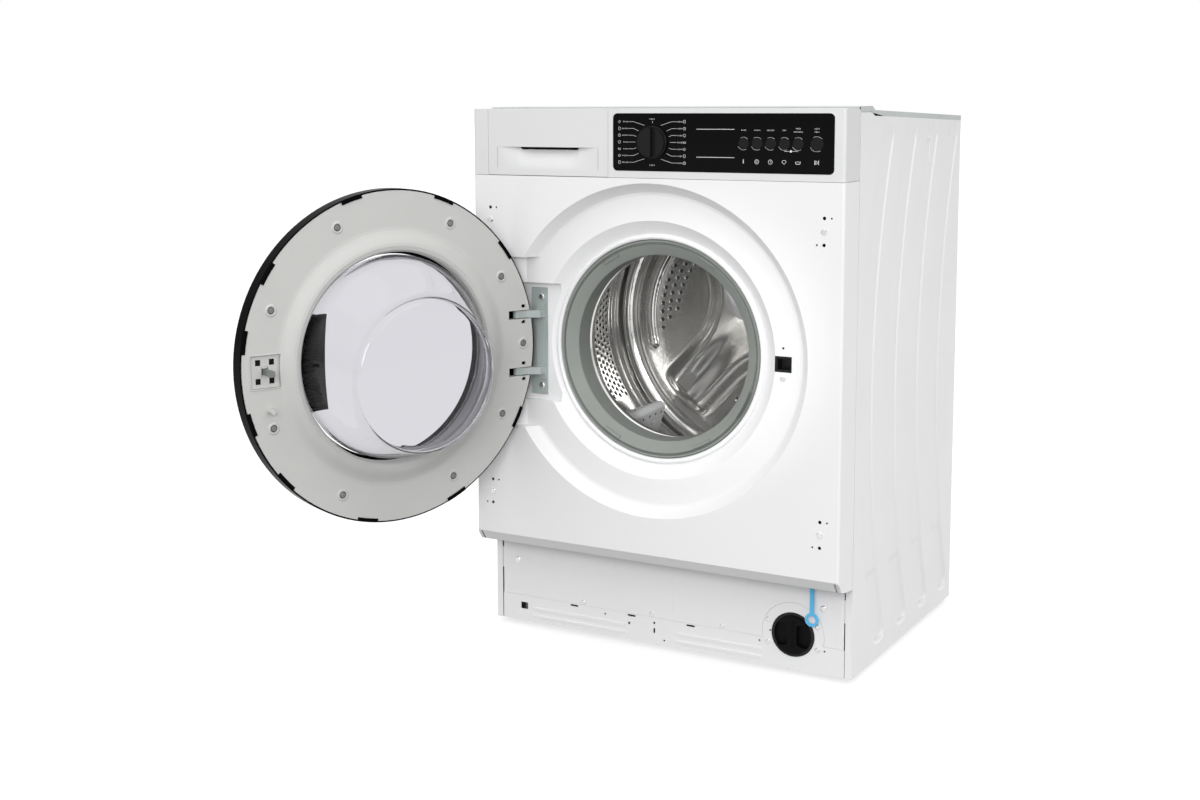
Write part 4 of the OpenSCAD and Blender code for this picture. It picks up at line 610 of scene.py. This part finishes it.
def pierced(mesh, surface, columns, rows, hole_of):
    """A sheet of staggered cells: column i is a strip in u, and a cell has a pressed hole or none.

    surface(u, v, press) gives a point, hole_of(u, v) gives None or (u radius, v radius, press).
    columns are the strips' edges in u, and rows is the number of cells round v, a closed ring.
    """
    step = 2 * math.pi / rows
    known = {}

    def vertex(key, u, v):
        if key not in known:
            known[key] = mesh.verts.new(surface(u, v))
        return known[key]

    for i, (u0, u1) in enumerate(zip(columns, columns[1:])):
        um = (u0 + u1) / 2
        for j in range(rows):
            a, b, c = [(2 * j + i % 2 + k) % (2 * rows) for k in range(3)]
            v0 = (2 * j + i % 2) * step / 2
            vm, v1 = v0 + step / 2, v0 + step
            rim = [vertex((i, a), u0, v0), vertex((i, b), u0, vm), vertex((i, c), u0, v1),
                   vertex((i, "m", c), um, v1), vertex((i + 1, c), u1, v1),
                   vertex((i + 1, b), u1, vm), vertex((i + 1, a), u1, v0), vertex((i, "m", a), um, v0)]
            hole = hole_of(um, vm)
            if hole is None:
                mesh.faces.new(rim)
                continue
            ru, rv, press = hole
            turns = [math.radians(t) for t in (225, 180, 135, 90, 45, 0, -45, -90)]
            rings = [[mesh.verts.new(surface(um + ru * reach * math.cos(t),
                                             vm + rv * reach * math.sin(t), lift)) for t in turns]
                     for reach, lift in ((1.5, 0.0), (1.12, press * 0.75), (1.0, press))]
            bridge(mesh, [rim] + rings, True)


def drum_wall():
    """Staggered pressed holes between the lifters, then two grooves before the back plate."""
    def surface(depth, angle, press=0.0):
        return round_axis(DRUM_R + press, angle, depth)

    def hole_of(_, angle):
        return WALL_HOLE if from_lifter(math.degrees(angle)) >= WALL_CLEAR else None

    mesh = bmesh.new()
    pierced(mesh, surface, WALL_COLUMNS, WALL_ROUND, hole_of)
    turns = [math.pi * i / WALL_ROUND for i in range(2 * WALL_ROUND)]
    for profile in (WALL_START, WALL_END):
        sheet(mesh, lambda a, row: surface(row[0], a, row[1]), turns, profile, True)
    bmesh.ops.remove_doubles(mesh, verts=mesh.verts, dist=0.00002)
    made = piece("drum_shell", mesh, STEEL, "drum")
    thicken(made, DRUM_SHEET, 1.0)
    smooth(made, 50)
    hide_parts("drum_wall")


PLATE_R = 227.0
PLATE_GRID = 3.1
HOLE_R = 3.5
HOLE_PITCH = 14.0
# Rows of a group of holes: radius, count, and degrees from the lifter's opposite to the first hole
HOLE_ROWS = ((164.5, 9, 19.7), (150.5, 8, 13.2), (136.5, 7, 6.7))
HOLE_BAND = (128, 173)
HOLE_SIDES = 12
# The grid's points keep clear of the holes: squared distance from a hole's centre
HOLE_CLEAR = 55
# The star's hub and arms grow together over STAR_BLEND; a channel runs along each arm
STAR_RISE = 16.0
STAR_BLEND = 13.0
STAR_HUB = 66
STAR_ARM = 56
STAR_END = 194
CHANNEL_DEEP = 5.0
CHANNEL_HALF = 18
BEAD_R = 187
BEAD_REACH = math.radians(28)


def back_holes():
    """Centres of the three groups of holes, in the plate's own plane."""
    centres = []
    for a in LIFTERS:
        for radius, count, start in HOLE_ROWS:
            for j in range(count):
                t = math.radians(a + 60 + start - math.degrees(j * HOLE_PITCH / radius))
                centres.append((radius * math.cos(t), radius * math.sin(t)))
    return centres


def star_height(r, angle):
    """Rise of the star: three arms and a hub in one flowing form, with a channel along each arm."""
    total, channel = math.exp((STAR_HUB - r) / STAR_BLEND), 0.0
    for arm in LIFTERS:
        turn = math.radians(angle - arm)
        along, across = r * math.cos(turn), abs(r * math.sin(turn))
        if along < 0:
            across = r
        total += math.exp((STAR_ARM - across) / STAR_BLEND)
        channel = max(channel, math.exp(-(across / CHANNEL_HALF) ** 2) * eased((along + 20) / 150))
    inside = STAR_BLEND * math.log(total)
    lower_out = 1 - 0.25 * eased((r - 70) / 120)
    end = eased((STAR_END - r) / 22)
    return (STAR_RISE * eased(inside / 30) * lower_out - CHANNEL_DEEP * channel) * end


def bead_height(r, from_gap):
    """Rise of the long bead, with a groove on each side."""
    beyond = max(0.0, abs(from_gap) - BEAD_REACH) * r
    across = math.hypot(r - BEAD_R, beyond)
    return 3.2 * eased((7.5 - across) / 3.5) - 1.1 * math.exp(-((across - 9) / 2.2) ** 2)


def plate_height(x, z, centres):
    """Rise of the back plate towards the front: star, beads, round ridge, rim and the holes' edges."""
    r = math.hypot(x, z)
    angle = math.degrees(math.atan2(z, x))
    rise = star_height(r, angle) + bead_height(r, math.radians(60) - math.radians(from_lifter(angle)))
    rise += 1.6 * math.exp(-((r - 209) / 5) ** 2)
    rise += 3.4 * eased((r - 222) / 6)
    if HOLE_BAND[0] < r < HOLE_BAND[1]:
        nearest = min(math.hypot(x - a, z - b) for a, b in centres)
        rise += 0.4 * math.exp(-((nearest - HOLE_R - 0.5) / 1.6) ** 2)
    return rise


def drum_back():
    """The back plate as one pressed sheet with real holes."""
    centres = back_holes()
    points, edges = [], []

    def ring(cx, cz, radius, n, first=0.0):
        """Points round a centre, from a share of a step on."""
        turns = [2 * math.pi * (k + first) / n for k in range(n)]
        points.extend(Vector((cx + radius * math.cos(t), cz + radius * math.sin(t))) for t in turns)

    def edge_ring(cx, cz, radius, n):
        """A ring whose points are joined, so that no face crosses it."""
        start = len(points)
        ring(cx, cz, radius, n)
        edges.extend((start + k, start + (k + 1) % n) for k in range(n))

    def squared_gap(x, z):
        return min((x - a) ** 2 + (z - b) ** 2 for a, b in centres)

    edge_ring(0, 0, PLATE_R, 240)
    for cx, cz in centres:
        edge_ring(cx, cz, HOLE_R, HOLE_SIDES)
        for reach in (1.4, 1.8):
            ring(cx, cz, HOLE_R * reach, HOLE_SIDES, 0.5)
    n = int(PLATE_R / PLATE_GRID) + 1
    for i in range(-n, n + 1):
        for j in range(-n, n + 1):
            x, z = (i + 0.5 * (j % 2)) * PLATE_GRID, j * PLATE_GRID * 0.866
            r = math.hypot(x, z)
            by_hole = HOLE_BAND[0] - 8 < r < HOLE_BAND[1] + 7 and squared_gap(x, z) < HOLE_CLEAR
            if r <= PLATE_R - 1.5 and not by_hole:
                points.append(Vector((x, z)))
    placed, _, faces, _, _, _ = delaunay_2d_cdt(points, edges, [], 1, 0.001)
    mesh = bmesh.new()
    verts = [mesh.verts.new(point(p.x, DRUM_BACK - plate_height(p.x, p.y, centres), AXIS + p.y))
             for p in placed]
    for face in faces:
        mid = sum((placed[k] for k in face), Vector((0, 0))) / len(face)
        in_band = HOLE_BAND[0] < mid.length < HOLE_BAND[1]
        if not (in_band and squared_gap(mid.x, mid.y) < (HOLE_R - 0.15) ** 2):
            mesh.faces.new([verts[k] for k in face])
    loose = [v for v in mesh.verts if not v.link_faces]
    bmesh.ops.delete(mesh, geom=loose, context="VERTS")
    made = piece("drum_back_plate", mesh, STEEL, "drum")
    thicken(made, DRUM_SHEET, -1.0)
    smooth(made, 60)
    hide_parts("drum_back")


LIFTER_START = 104.0
LIFTER_LEN = 201.0
LIFTER_HIGH = 56.0
FOOT_HALF = 33.0
CREST_HALF = 7.0
CREST_V = 0.28
FLANK_LEN = 74


def lifter_skin(arm, u, v, lift=0.0):
    """A point of a lifter's skin: u along it from 0 to 1, v from foot to foot over the crest, -1 to 1."""
    turn = math.radians(arm)
    ends = eased((u + 0.05) / 0.06) * eased((1 - u) / 0.025)
    wave = 1 - 0.13 * math.sin(math.pi * eased((u - 0.1) / 0.9)) ** 2
    height = LIFTER_HIGH * wave * (0.30 + 0.70 * ends)
    flank = min(1.0, (1 - abs(v)) / (1 - CREST_V))
    crown = 3.0 * min(1.0, abs(v) / CREST_V) ** 2 * min(1.0, flank)
    rise = height * flank ** 1.05 - crown + lift
    half = FOOT_HALF - 3.0 * (1 - ends)
    on_flank = math.copysign(half - (half - CREST_HALF) * flank, v)
    across = on_flank if abs(v) > CREST_V else CREST_HALF * v / CREST_V
    r = math.sqrt(DRUM_R ** 2 - across ** 2) - 0.4 - rise
    return point(r * math.cos(turn) - across * math.sin(turn), LIFTER_START + LIFTER_LEN * u,
                 AXIS + r * math.sin(turn) + across * math.cos(turn))


def lifter_discs(mesh, rows, along, size, rings):
    """Small round forms in staggered rows on both flanks of each lifter.

    rings gives each ring's radius as a share of size, and its lift in millimetres.
    """
    def on_flank(arm, side, u, v):
        """Places round a spot of a flank: along the lifter and across it, in units of size, and out."""
        return lambda du, dv, lift: lifter_skin(arm, u + size / LIFTER_LEN * du,
                                                side * (v + size / FLANK_LEN * dv), lift)

    half_step = 0.5 * (along[1] - along[0])
    for arm in LIFTERS:
        for side in (-1, 1):
            for row, v in enumerate(rows):
                for u in along:
                    shift = half_step if row % 2 else 0.0
                    mesh.faces.new(cup(mesh, on_flank(arm, side, u + shift, v), rings, 8)[-1])


def drum_lifters():
    """White moulded lifters with rows of small bumps, and a row of dark discs below the crest: painted shade
    standing for holes.
    """
    mesh = bmesh.new()
    us = [0.0, 0.01, 0.025, 0.045, 0.07, 0.11, 0.15] + spaced(0.2, 0.96, 16) + [0.975, 0.985, 0.993, 1.0]
    vs = spaced(-1, -CREST_V, 8) + [-0.22, -0.1, 0.0, 0.1, 0.22] + spaced(CREST_V, 1, 8)
    for arm in LIFTERS:
        rows = sheet(mesh, lambda u, v: lifter_skin(arm, u, v), us, vs)
        for side in (0, -1):
            mesh.faces.new([row[side] for row in rows])
    made = piece("lifters", mesh, LOOKS["lifter_white"], "drum")
    smooth(made, 45)
    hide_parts("drum_lifters")
    # Painted shade: dark discs stand for the row of holes
    hole_shade = bmesh.new()
    lifter_discs(hole_shade, [0.37], spaced(0.16, 0.92, 8), 2.0, ((1.0, 0.0), (1.0, 0.35), (0.1, 0.4)))
    piece("lifter_hole_shade", hole_shade, PAINTED_GAP_SHADE, "drum")
    bumps = bmesh.new()
    lifter_discs(bumps, [0.47, 0.56, 0.65, 0.74, 0.83], spaced(0.14, 0.92, 12), 2.2,
                 ((1.15, -0.05), (0.85, 0.8), (0.3, 1.3)))
    smooth(piece("lifter_bumps", bumps, LOOKS["lifter_white"], "drum"), 60)


drum_wall()
drum_back()
drum_lifters()


# The door: glass bowl, ridged grip, sunk screws and latch plate, made as it stands closed

DOOR_IN = 3.0
DOOR_OUT = -25.5
PORT_R = 154.0
BOWL_R = 149.0
BOWL_RIM = 5.0
BOWL_TAPER = 37.0
BOWL_DEPTH = 99.0
BOWL_DROP = 15.0
BOWL_WALL = 3.2
BOWL_CORNER = 9.0
GRIP_HALF = 69.0
GRIP_CHORD = 100.0
GRIP_PITCH = 3.3
SCREW_R = 213.0
DOOR_SCREWS = [(SCREW_R * math.cos(math.radians(a)), SCREW_R * math.sin(math.radians(a)))
               for t in (23, 65, 117, 150.5) for a in (t, -t)] + [(-224.5, 0.0)]
HOOK = (206.0, -2.0)


def bowl_rows(inset):
    """Radius, depth and drop of the bowl's rings, from the rim to the middle of its end."""
    rows = [(BOWL_R - inset, -BOWL_RIM, 0.0), (BOWL_R - inset, BOWL_RIM, 0.0)]
    for i in range(1, 13):
        t = i / 12
        narrower = BOWL_TAPER * (0.82 * eased(t) + 0.18 * t)
        rows.append((BOWL_R - inset - narrower, BOWL_RIM + (BOWL_DEPTH - BOWL_RIM - BOWL_CORNER) * t,
                     BOWL_DROP * eased(t)))
    for i in range(1, 9):
        a = math.radians(90 * i / 8)
        rows.append((BOWL_R - BOWL_TAPER - inset - BOWL_CORNER * (1 - math.cos(a)),
                     BOWL_DEPTH - BOWL_CORNER + (BOWL_CORNER - inset) * math.sin(a), BOWL_DROP))
    for i in range(1, 7):
        t = i / 6
        rows.append(((BOWL_R - BOWL_CORNER - BOWL_TAPER - inset) * (1 - t) + 0.5,
                     BOWL_DEPTH - inset + 3.0 * (1 - (1 - t) ** 2), BOWL_DROP))
    return rows


def glass_bowl():
    """The bowl with its wall, which drops towards its slightly crowned end."""
    mesh = bmesh.new()
    turns = [math.radians(a) for a in spaced(0, 360, 144)[:-1]]
    outer, inner = [sheet(mesh, lambda a, row: round_axis(row[0], a, row[1], row[2]), turns,
                          bowl_rows(inset), True) for inset in (0.0, BOWL_WALL)]
    bridge(mesh, [outer[0], inner[0]], True)
    for rows in (outer, inner):
        mesh.faces.new(rows[-1])
    made = piece("glass_bowl", mesh, LOOKS["door_glass"], "door", True)
    smooth(made, 40)
    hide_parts("door_glass")


def grip_x(z, t):
    """Place across the grip at a height: the opening's edge at t = 0, the chord at t = 1."""
    edge = math.sqrt((PORT_R - 1.0) ** 2 - z ** 2)
    inner = GRIP_CHORD + 4.0 * (1 - (z / GRIP_HALF) ** 2)
    return edge + (inner - edge) * t


def grip_face(z, t):
    """The ridged face, hollow across and waved along."""
    over = math.sin(math.pi * min(1.0, t * 1.25)) if t < 0.8 else 0.0
    wave = 0.9 * math.sin(z * 2 * math.pi / GRIP_PITCH) * over ** 0.5
    return point(grip_x(z, t), DOOR_IN - 11.0 - 8.0 * eased(t) - 1.5 * over + wave, AXIS + z)


def ridged_grip():
    """Black grip with cross ridges, between the opening's edge and a chord."""
    mesh = bmesh.new()
    heights = spaced(-GRIP_HALF, GRIP_HALF, 330)
    front = sheet(mesh, grip_face, heights, [0.0, 0.06, 0.2, 0.4, 0.6, 0.74, 0.8, 0.9, 1.0])
    rear = sheet(mesh, lambda z, t: point(grip_x(z, t), DOOR_OUT + 2.5, AXIS + z), heights, [0.0, 1.0])
    for side in (0, -1):
        bridge(mesh, [front[side], rear[side]])
    for side in (0, -1):
        mesh.faces.new([row[side] for row in front] + [row[side] for row in reversed(rear)])
    made = piece("ridged_grip", mesh, LOOKS["moulded_black"], "door", True)
    smooth(made, 40)
    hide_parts("door_grip")


def on_ring(x, z):
    """Places on the door's inner face: across, up and out from a point of it."""
    return lambda u, w, lift: point(x + u, DOOR_IN + lift, AXIS + z + w)


def screw_collars():
    """A raised collar round each screw of the door ring, and its pit and cross slot in a dark grey that paints
    their shade.
    """
    mesh = bmesh.new()
    for x, z in DOOR_SCREWS:
        cup(mesh, on_ring(x, z), ((9.6, -0.1), (8.2, 0.9), (7.0, 1.5), (6.3, 1.5), (5.0, 0.6), (4.4, 0.05)))
    smooth(piece("screw_collars", mesh, LOOKS["door_grey"], "door", True), 60)
    # Painted shade: the pits' slopes and the cross slots are a dark grey that stands for their shade
    pit_shade = bmesh.new()
    for x, z in DOOR_SCREWS:
        cup(pit_shade, on_ring(x, z), ((6.4, 1.45), (5.2, 0.75), (4.2, 0.12), (3.6, 0.1)))
    head = (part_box("door_screws")[1].y - FRONT) / MM
    for x, z in DOOR_SCREWS:
        for half_u, half_w in ((2.4, 0.5), (0.5, 2.4)):
            strip(pit_shade, [point(x + su * half_u, head, AXIS + z + sw * half_w) for su, sw in SQUARE],
                  0.06, (0, 1, 0))
    piece("screw_pit_shade", pit_shade, PIT_PAINTED_SHADE, "door", True)


def latch_plate():
    """Plate in the latch recess with four square holes round the hook, a narrow frame, and dark plates of painted
    shade behind the holes.
    """
    place = on_ring(*HOOK)
    mesh = bmesh.new()
    cells_u = [-22.6, -14.5, -6.5, -5.2, 5.2, 6.5, 14.5, 22.6]
    cells_w = [-23.0, -17.5, -9.0, -7.0, 7.0, 9.0, 17.5, 23.0]
    grid = [[mesh.verts.new(place(u, w, -3.0)) for u in cells_u] for w in cells_w]
    empty = {(1, 1), (1, 5), (5, 1), (5, 5), (3, 3)}
    for j in range(7):
        for i in range(7):
            if (j, i) not in empty:
                mesh.faces.new((grid[j][i], grid[j][i + 1], grid[j + 1][i + 1], grid[j + 1][i]))
    thicken(piece("latch_plate", mesh, LOOKS["door_grey"], "door", True), 2.0, 1.0)
    rim = bmesh.new()
    profile = ((24.4, -0.1), (24.4, 0.7), (23.6, 1.1), (22.9, 0.5), (22.8, -2.8))
    bridge(rim, [[rim.verts.new(place(sx * r, sz * (r + 0.6), lift)) for sx, sz in SQUARE]
                 for r, lift in profile], True)
    piece("latch_frame", rim, LOOKS["door_grey"], "door", True)
    # Painted shade: dark plates behind the square holes stand for the shade in them
    gap_shade = bmesh.new()
    for u in (-10.5, 10.5):
        for w in (-13.2, 13.2):
            strip(gap_shade, [place(u + su * 3.9, w + sw * 4.1, -4.9) for su, sw in SQUARE], 0.8, (0, 1, 0))
    piece("latch_gap_shade", gap_shade, PAINTED_GAP_SHADE, "door", True)


glass_bowl()
ridged_grip()
screw_collars()
latch_plate()


# The side panels: four long pressed ribs each, with rounded ends and a deeper pocket low down

SHEET_T = 0.8
RIB_R = 1020.0
RIB_MID = AXIS - 57.0
RIB_REACH = 383.0
RIB_HALF = 27.5
RIB_PITCH = 103.5
RIB_FRONT = 44.0
RIB_CORNER = 24.0
RIB_DEPTH = 2.0
RIBS = [RIB_FRONT + i * RIB_PITCH for i in range(4)]
# Lines of the mesh: across a rib from its middle line, and along it from either end
RIB_LINES = (-27.5, -26.5, -25.4, -24.2, -23.0, -21.0, -18.5, -16.0, -13.5, -11.0, -8.5, -4.0, 0.0, 5.0,
             10.0, 15.0, 18.5, 21.0, 23.0, 24.2, 25.4, 26.5, 27.5)
RIB_END_LINES = (0, 1.2, 2.4, 3.6, 5, 7, 9, 11.5, 14, 17, 20)
RIB_FLANK = 4.5
POCKET_TOP = 122
POCKET_DEPTH = 1.2
DENT_AT = (-13.5, -127)
DENT_SIZE = (2.5, 4.0)
DENT_DEPTH = 0.9
# The upper edge: a step behind the front, then a gentle fall to the rear
STEP_FROM = 46.3
STEP_LEN = 12
STEP_DROP = 6.0
FALL_END = 528.0
FALL_DROP = 15.0
# The suspension spring's bracket: where the spring hangs, half its width, and its sheet
SPRING_SEAT = (HALF_W - 58, 344, 765)
SEAT_HALF = 30
SEAT_T = 3
side_lo, side_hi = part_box("side_panel_right")
SIDE_Y = (side_lo.y - FRONT) / MM
SIDE_REAR = (side_hi.y - FRONT) / MM
SIDE_TOP = (side_hi.z - PAN) / MM
SIDE_DEPTH = SIDE_REAR - SIDE_Y


def side_top(y):
    """Height of the panel's upper edge, which drops behind the front and then falls gently."""
    step = SIDE_Y + STEP_FROM
    fall = FALL_DROP * max(0.0, y - step - STEP_LEN) / (FALL_END - step - STEP_LEN)
    return SIDE_TOP - STEP_DROP * min(1.0, max(0.0, (y - step) / STEP_LEN)) - fall


def rib_depth_at(across, z):
    """Depth of the pressing at a distance from a rib's middle line: rib, low pocket and small dent."""
    qx = abs(across) - (RIB_HALF - RIB_CORNER)
    qz = abs(z - RIB_MID) - (RIB_REACH - RIB_CORNER)
    edge = RIB_CORNER - math.hypot(max(qx, 0.0), max(qz, 0.0)) - min(max(qx, qz), 0.0)
    depth = RIB_DEPTH * eased(edge / RIB_FLANK)
    low_end = RIB_MID - RIB_REACH
    depth += POCKET_DEPTH * eased((edge - 4.0) / 4.0) * eased((low_end + POCKET_TOP - z) / 12)
    dent_x = (across - DENT_AT[0]) / DENT_SIZE[0]
    dent_z = (z - SIDE_TOP - DENT_AT[1]) / DENT_SIZE[1]
    return depth + DENT_DEPTH * math.exp(-dent_x ** 2 - dent_z ** 2)


def panel_point(side, u, t, inner):
    """A point of a side panel: u back from its front edge, t from its foot to its top, 0 to 1."""
    first, last = RIBS[0] - RIB_HALF, RIBS[-1] + RIB_HALF
    if u < first:
        share = u / first
    elif u > last:
        share = (SIDE_DEPTH - u) / (SIDE_DEPTH - last)
    else:
        share = 1.0
    bow = RIB_R - math.sqrt(RIB_R ** 2 - (t * SIDE_TOP - RIB_MID) ** 2)
    y = SIDE_Y + u + bow * share
    z = t * side_top(y)
    across = min((u - rib for rib in RIBS), key=abs)
    depth = rib_depth_at(across, z) if abs(across) < RIB_HALF + 1 else 0.0
    return point(side * (HALF_W - depth - inner), y, z)


def side_panel(side, name, node):
    """A panel with its ribs, flanges, tab and the bracket that a suspension spring hangs from."""
    us = [0.0, 6.0]
    for rib in RIBS:
        us += [rib + d for d in RIB_LINES] + [rib + RIB_PITCH / 2]
    us += [SIDE_DEPTH - 30.0, SIDE_DEPTH]
    low, high = RIB_MID - RIB_REACH, RIB_MID + RIB_REACH
    zs = [0.0, low / 2] + [low + d for d in RIB_END_LINES + (30, 50, 80)]
    zs += spaced(low + 106, low + 126, 8) + spaced(low + 160, SIDE_TOP - 150, 18)
    zs += spaced(SIDE_TOP - 138, SIDE_TOP - 116, 9) + [SIDE_TOP - 90, SIDE_TOP - 60]
    zs += [high - d for d in RIB_END_LINES] + [(high + SIDE_TOP) / 2, SIDE_TOP]
    ts = [z / SIDE_TOP for z in sorted(zs)]
    mesh = bmesh.new()
    outer, inner = [sheet(mesh, lambda u, t: panel_point(side, u, t, inset), us, ts)
                    for inset in (0.0, SHEET_T)]
    for end in (0, -1):
        bridge(mesh, [outer[end], inner[end]])
    for end in (0, -1):
        bridge(mesh, [[row[end] for row in outer], [row[end] for row in inner]])
    face = side * (HALF_W - SHEET_T)

    def plate(corners, thick, normal):
        strip(mesh, [point(*c) for c in corners], thick, normal)

    def flange(reach, y, z0, z1):
        """A strip of sheet bent inwards, between two heights."""
        end = face - side * reach
        plate([(face, y, z0), (end, y, z0), (end, y, z1), (face, y, z1)], SHEET_T, (0, 1, 0))

    flange(9.2, SIDE_Y, 0, 655)  # along the front
    flange(17.2, SIDE_REAR - SHEET_T, 4, side_top(SIDE_REAR) - 8)  # along the rear
    flange(51.2, SIDE_Y + 1.8, 82, 116)  # the tab that takes the kick panel's screw
    seat_x, seat_y, seat_z = SPRING_SEAT
    end = side * (seat_x - 14)
    near, far = seat_y - SEAT_HALF, seat_y + SEAT_HALF
    plate([(face, near, seat_z), (end, near, seat_z), (end, far, seat_z), (face, far, seat_z)],
          SEAT_T, (0, 0, 1))
    for y in (near, far - SEAT_T):
        plate([(face, y, seat_z), (side * seat_x, y, seat_z), (face, y, seat_z - 40)], SEAT_T, (0, 1, 0))
    made = piece(name, mesh, LOOKS["cabinet_white"], "cabinet")
    smooth(made, 40)
    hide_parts(node)


side_panel(1, "ribbed_side_right", "side_panel_right")
side_panel(-1, "ribbed_side_left", "side_panel_left")


# Painted shade: dark lines round the gasket's pads, and dark discs for the pegs' holes beside the furniture hinges

PAD_TURN = 5.2
PAD_ANGLES = (60, 121, 240, 298)
PAD_EDGES = (151.2, 155.0)
PAD_LINE = 0.45
LIP_R = 155.4
LIP_DEPTH = 32.4
LIP_SLOPE = 0.7
PEG_R = 1.35
PEG_GROUPS = [(side * 269.0, z) for side in (-1, 1) for z in (AXIS + 187.5, AXIS - 238.5)]


def pad_lines():
    """The outline of each pad as a thin dark line of painted shade, on the slope of the gasket's lip."""
    mesh = bmesh.new()

    def bar(r0, r1, a0, a1):
        """A piece of line between two radii and two angles in degrees."""
        strip(mesh, [round_axis(r, math.radians(a), LIP_DEPTH + (LIP_R - r) * LIP_SLOPE)
                     for r, a in ((r0, a0), (r1, a0), (r1, a1), (r0, a1))], 0.12, (0, -1, 0))

    for middle in PAD_ANGLES:
        for i in range(8):
            a0 = middle - PAD_TURN + PAD_TURN / 4 * i
            for r in PAD_EDGES:
                bar(r, r + PAD_LINE, a0, a0 + PAD_TURN / 4)
        for end in (-PAD_TURN, PAD_TURN):
            bar(PAD_EDGES[0], PAD_EDGES[1] + PAD_LINE, middle + end - 0.09, middle + end + 0.09)
    piece("pad_lines", mesh, PAD_SHADE, "cabinet")


def peg_hole_shade():
    """Painted shade: two small dark discs for holes at each pair of furniture-hinge holes."""
    mesh = bmesh.new()
    turns = [math.pi * k / 6 for k in range(12)]
    for middle_x, middle_z in PEG_GROUPS:
        for s in (-1, 1):
            x, z = middle_x + s * 10.5, middle_z + s * 18.5
            strip(mesh, [point(x + PEG_R * math.cos(t), 0.3, z + PEG_R * math.sin(t)) for t in turns],
                  0.2, (0, 1, 0))
    piece("peg_hole_shade", mesh, PAINTED_GAP_SHADE, "cabinet")


pad_lines()
peg_hole_shade()


# The drawer's finger scoop: hollow in the middle, running out to the sides and down

SCOOP_TOP = 760.0
SCOOP_HIGH = 34.0
SCOOP_HALF = 86.5
SCOOP_DEPTH = 12.2
SCOOP_RUN_OUT = 62
SCOOP_LIP_HALF = 52
SCOOP_LIP_DROP = 4.2
SLOT = ((-53, -6), (53, -6), (53, 3), (-53, 3))


def drawer_scoop():
    """The scoop's hollow, and a dark strip of painted shade for the slot above it that fingers reach into."""
    low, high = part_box("drawer_front")
    mid = (low.x + high.x) / 2 / MM

    def surface(x, t):
        top = -SCOOP_LIP_DROP * eased((SCOOP_LIP_HALF - abs(x)) / 5)
        depth = 0.05 + SCOOP_DEPTH * eased((SCOOP_HALF - abs(x)) / SCOOP_RUN_OUT) * (1 - t) ** 1.7
        return point(mid + x, depth, SCOOP_TOP + top - (SCOOP_HIGH + top - 0.05) * t)

    mesh = bmesh.new()
    sheet(mesh, surface, spaced(-SCOOP_HALF, SCOOP_HALF, 90), spaced(0, 1, 16))
    smooth(piece("drawer_scoop", mesh, LOOKS["fascia_white"], "drawer"), 60)
    # Painted shade: a dark strip behind the scoop's top edge stands for the slot's shade
    slot = bmesh.new()
    strip(slot, [point(mid + x, SCOOP_DEPTH + 0.3, SCOOP_TOP + z) for x, z in SLOT], 0.3, (0, -1, 0))
    piece("scoop_slot_shade", slot, PAINTED_GAP_SHADE, "drawer")


drawer_scoop()
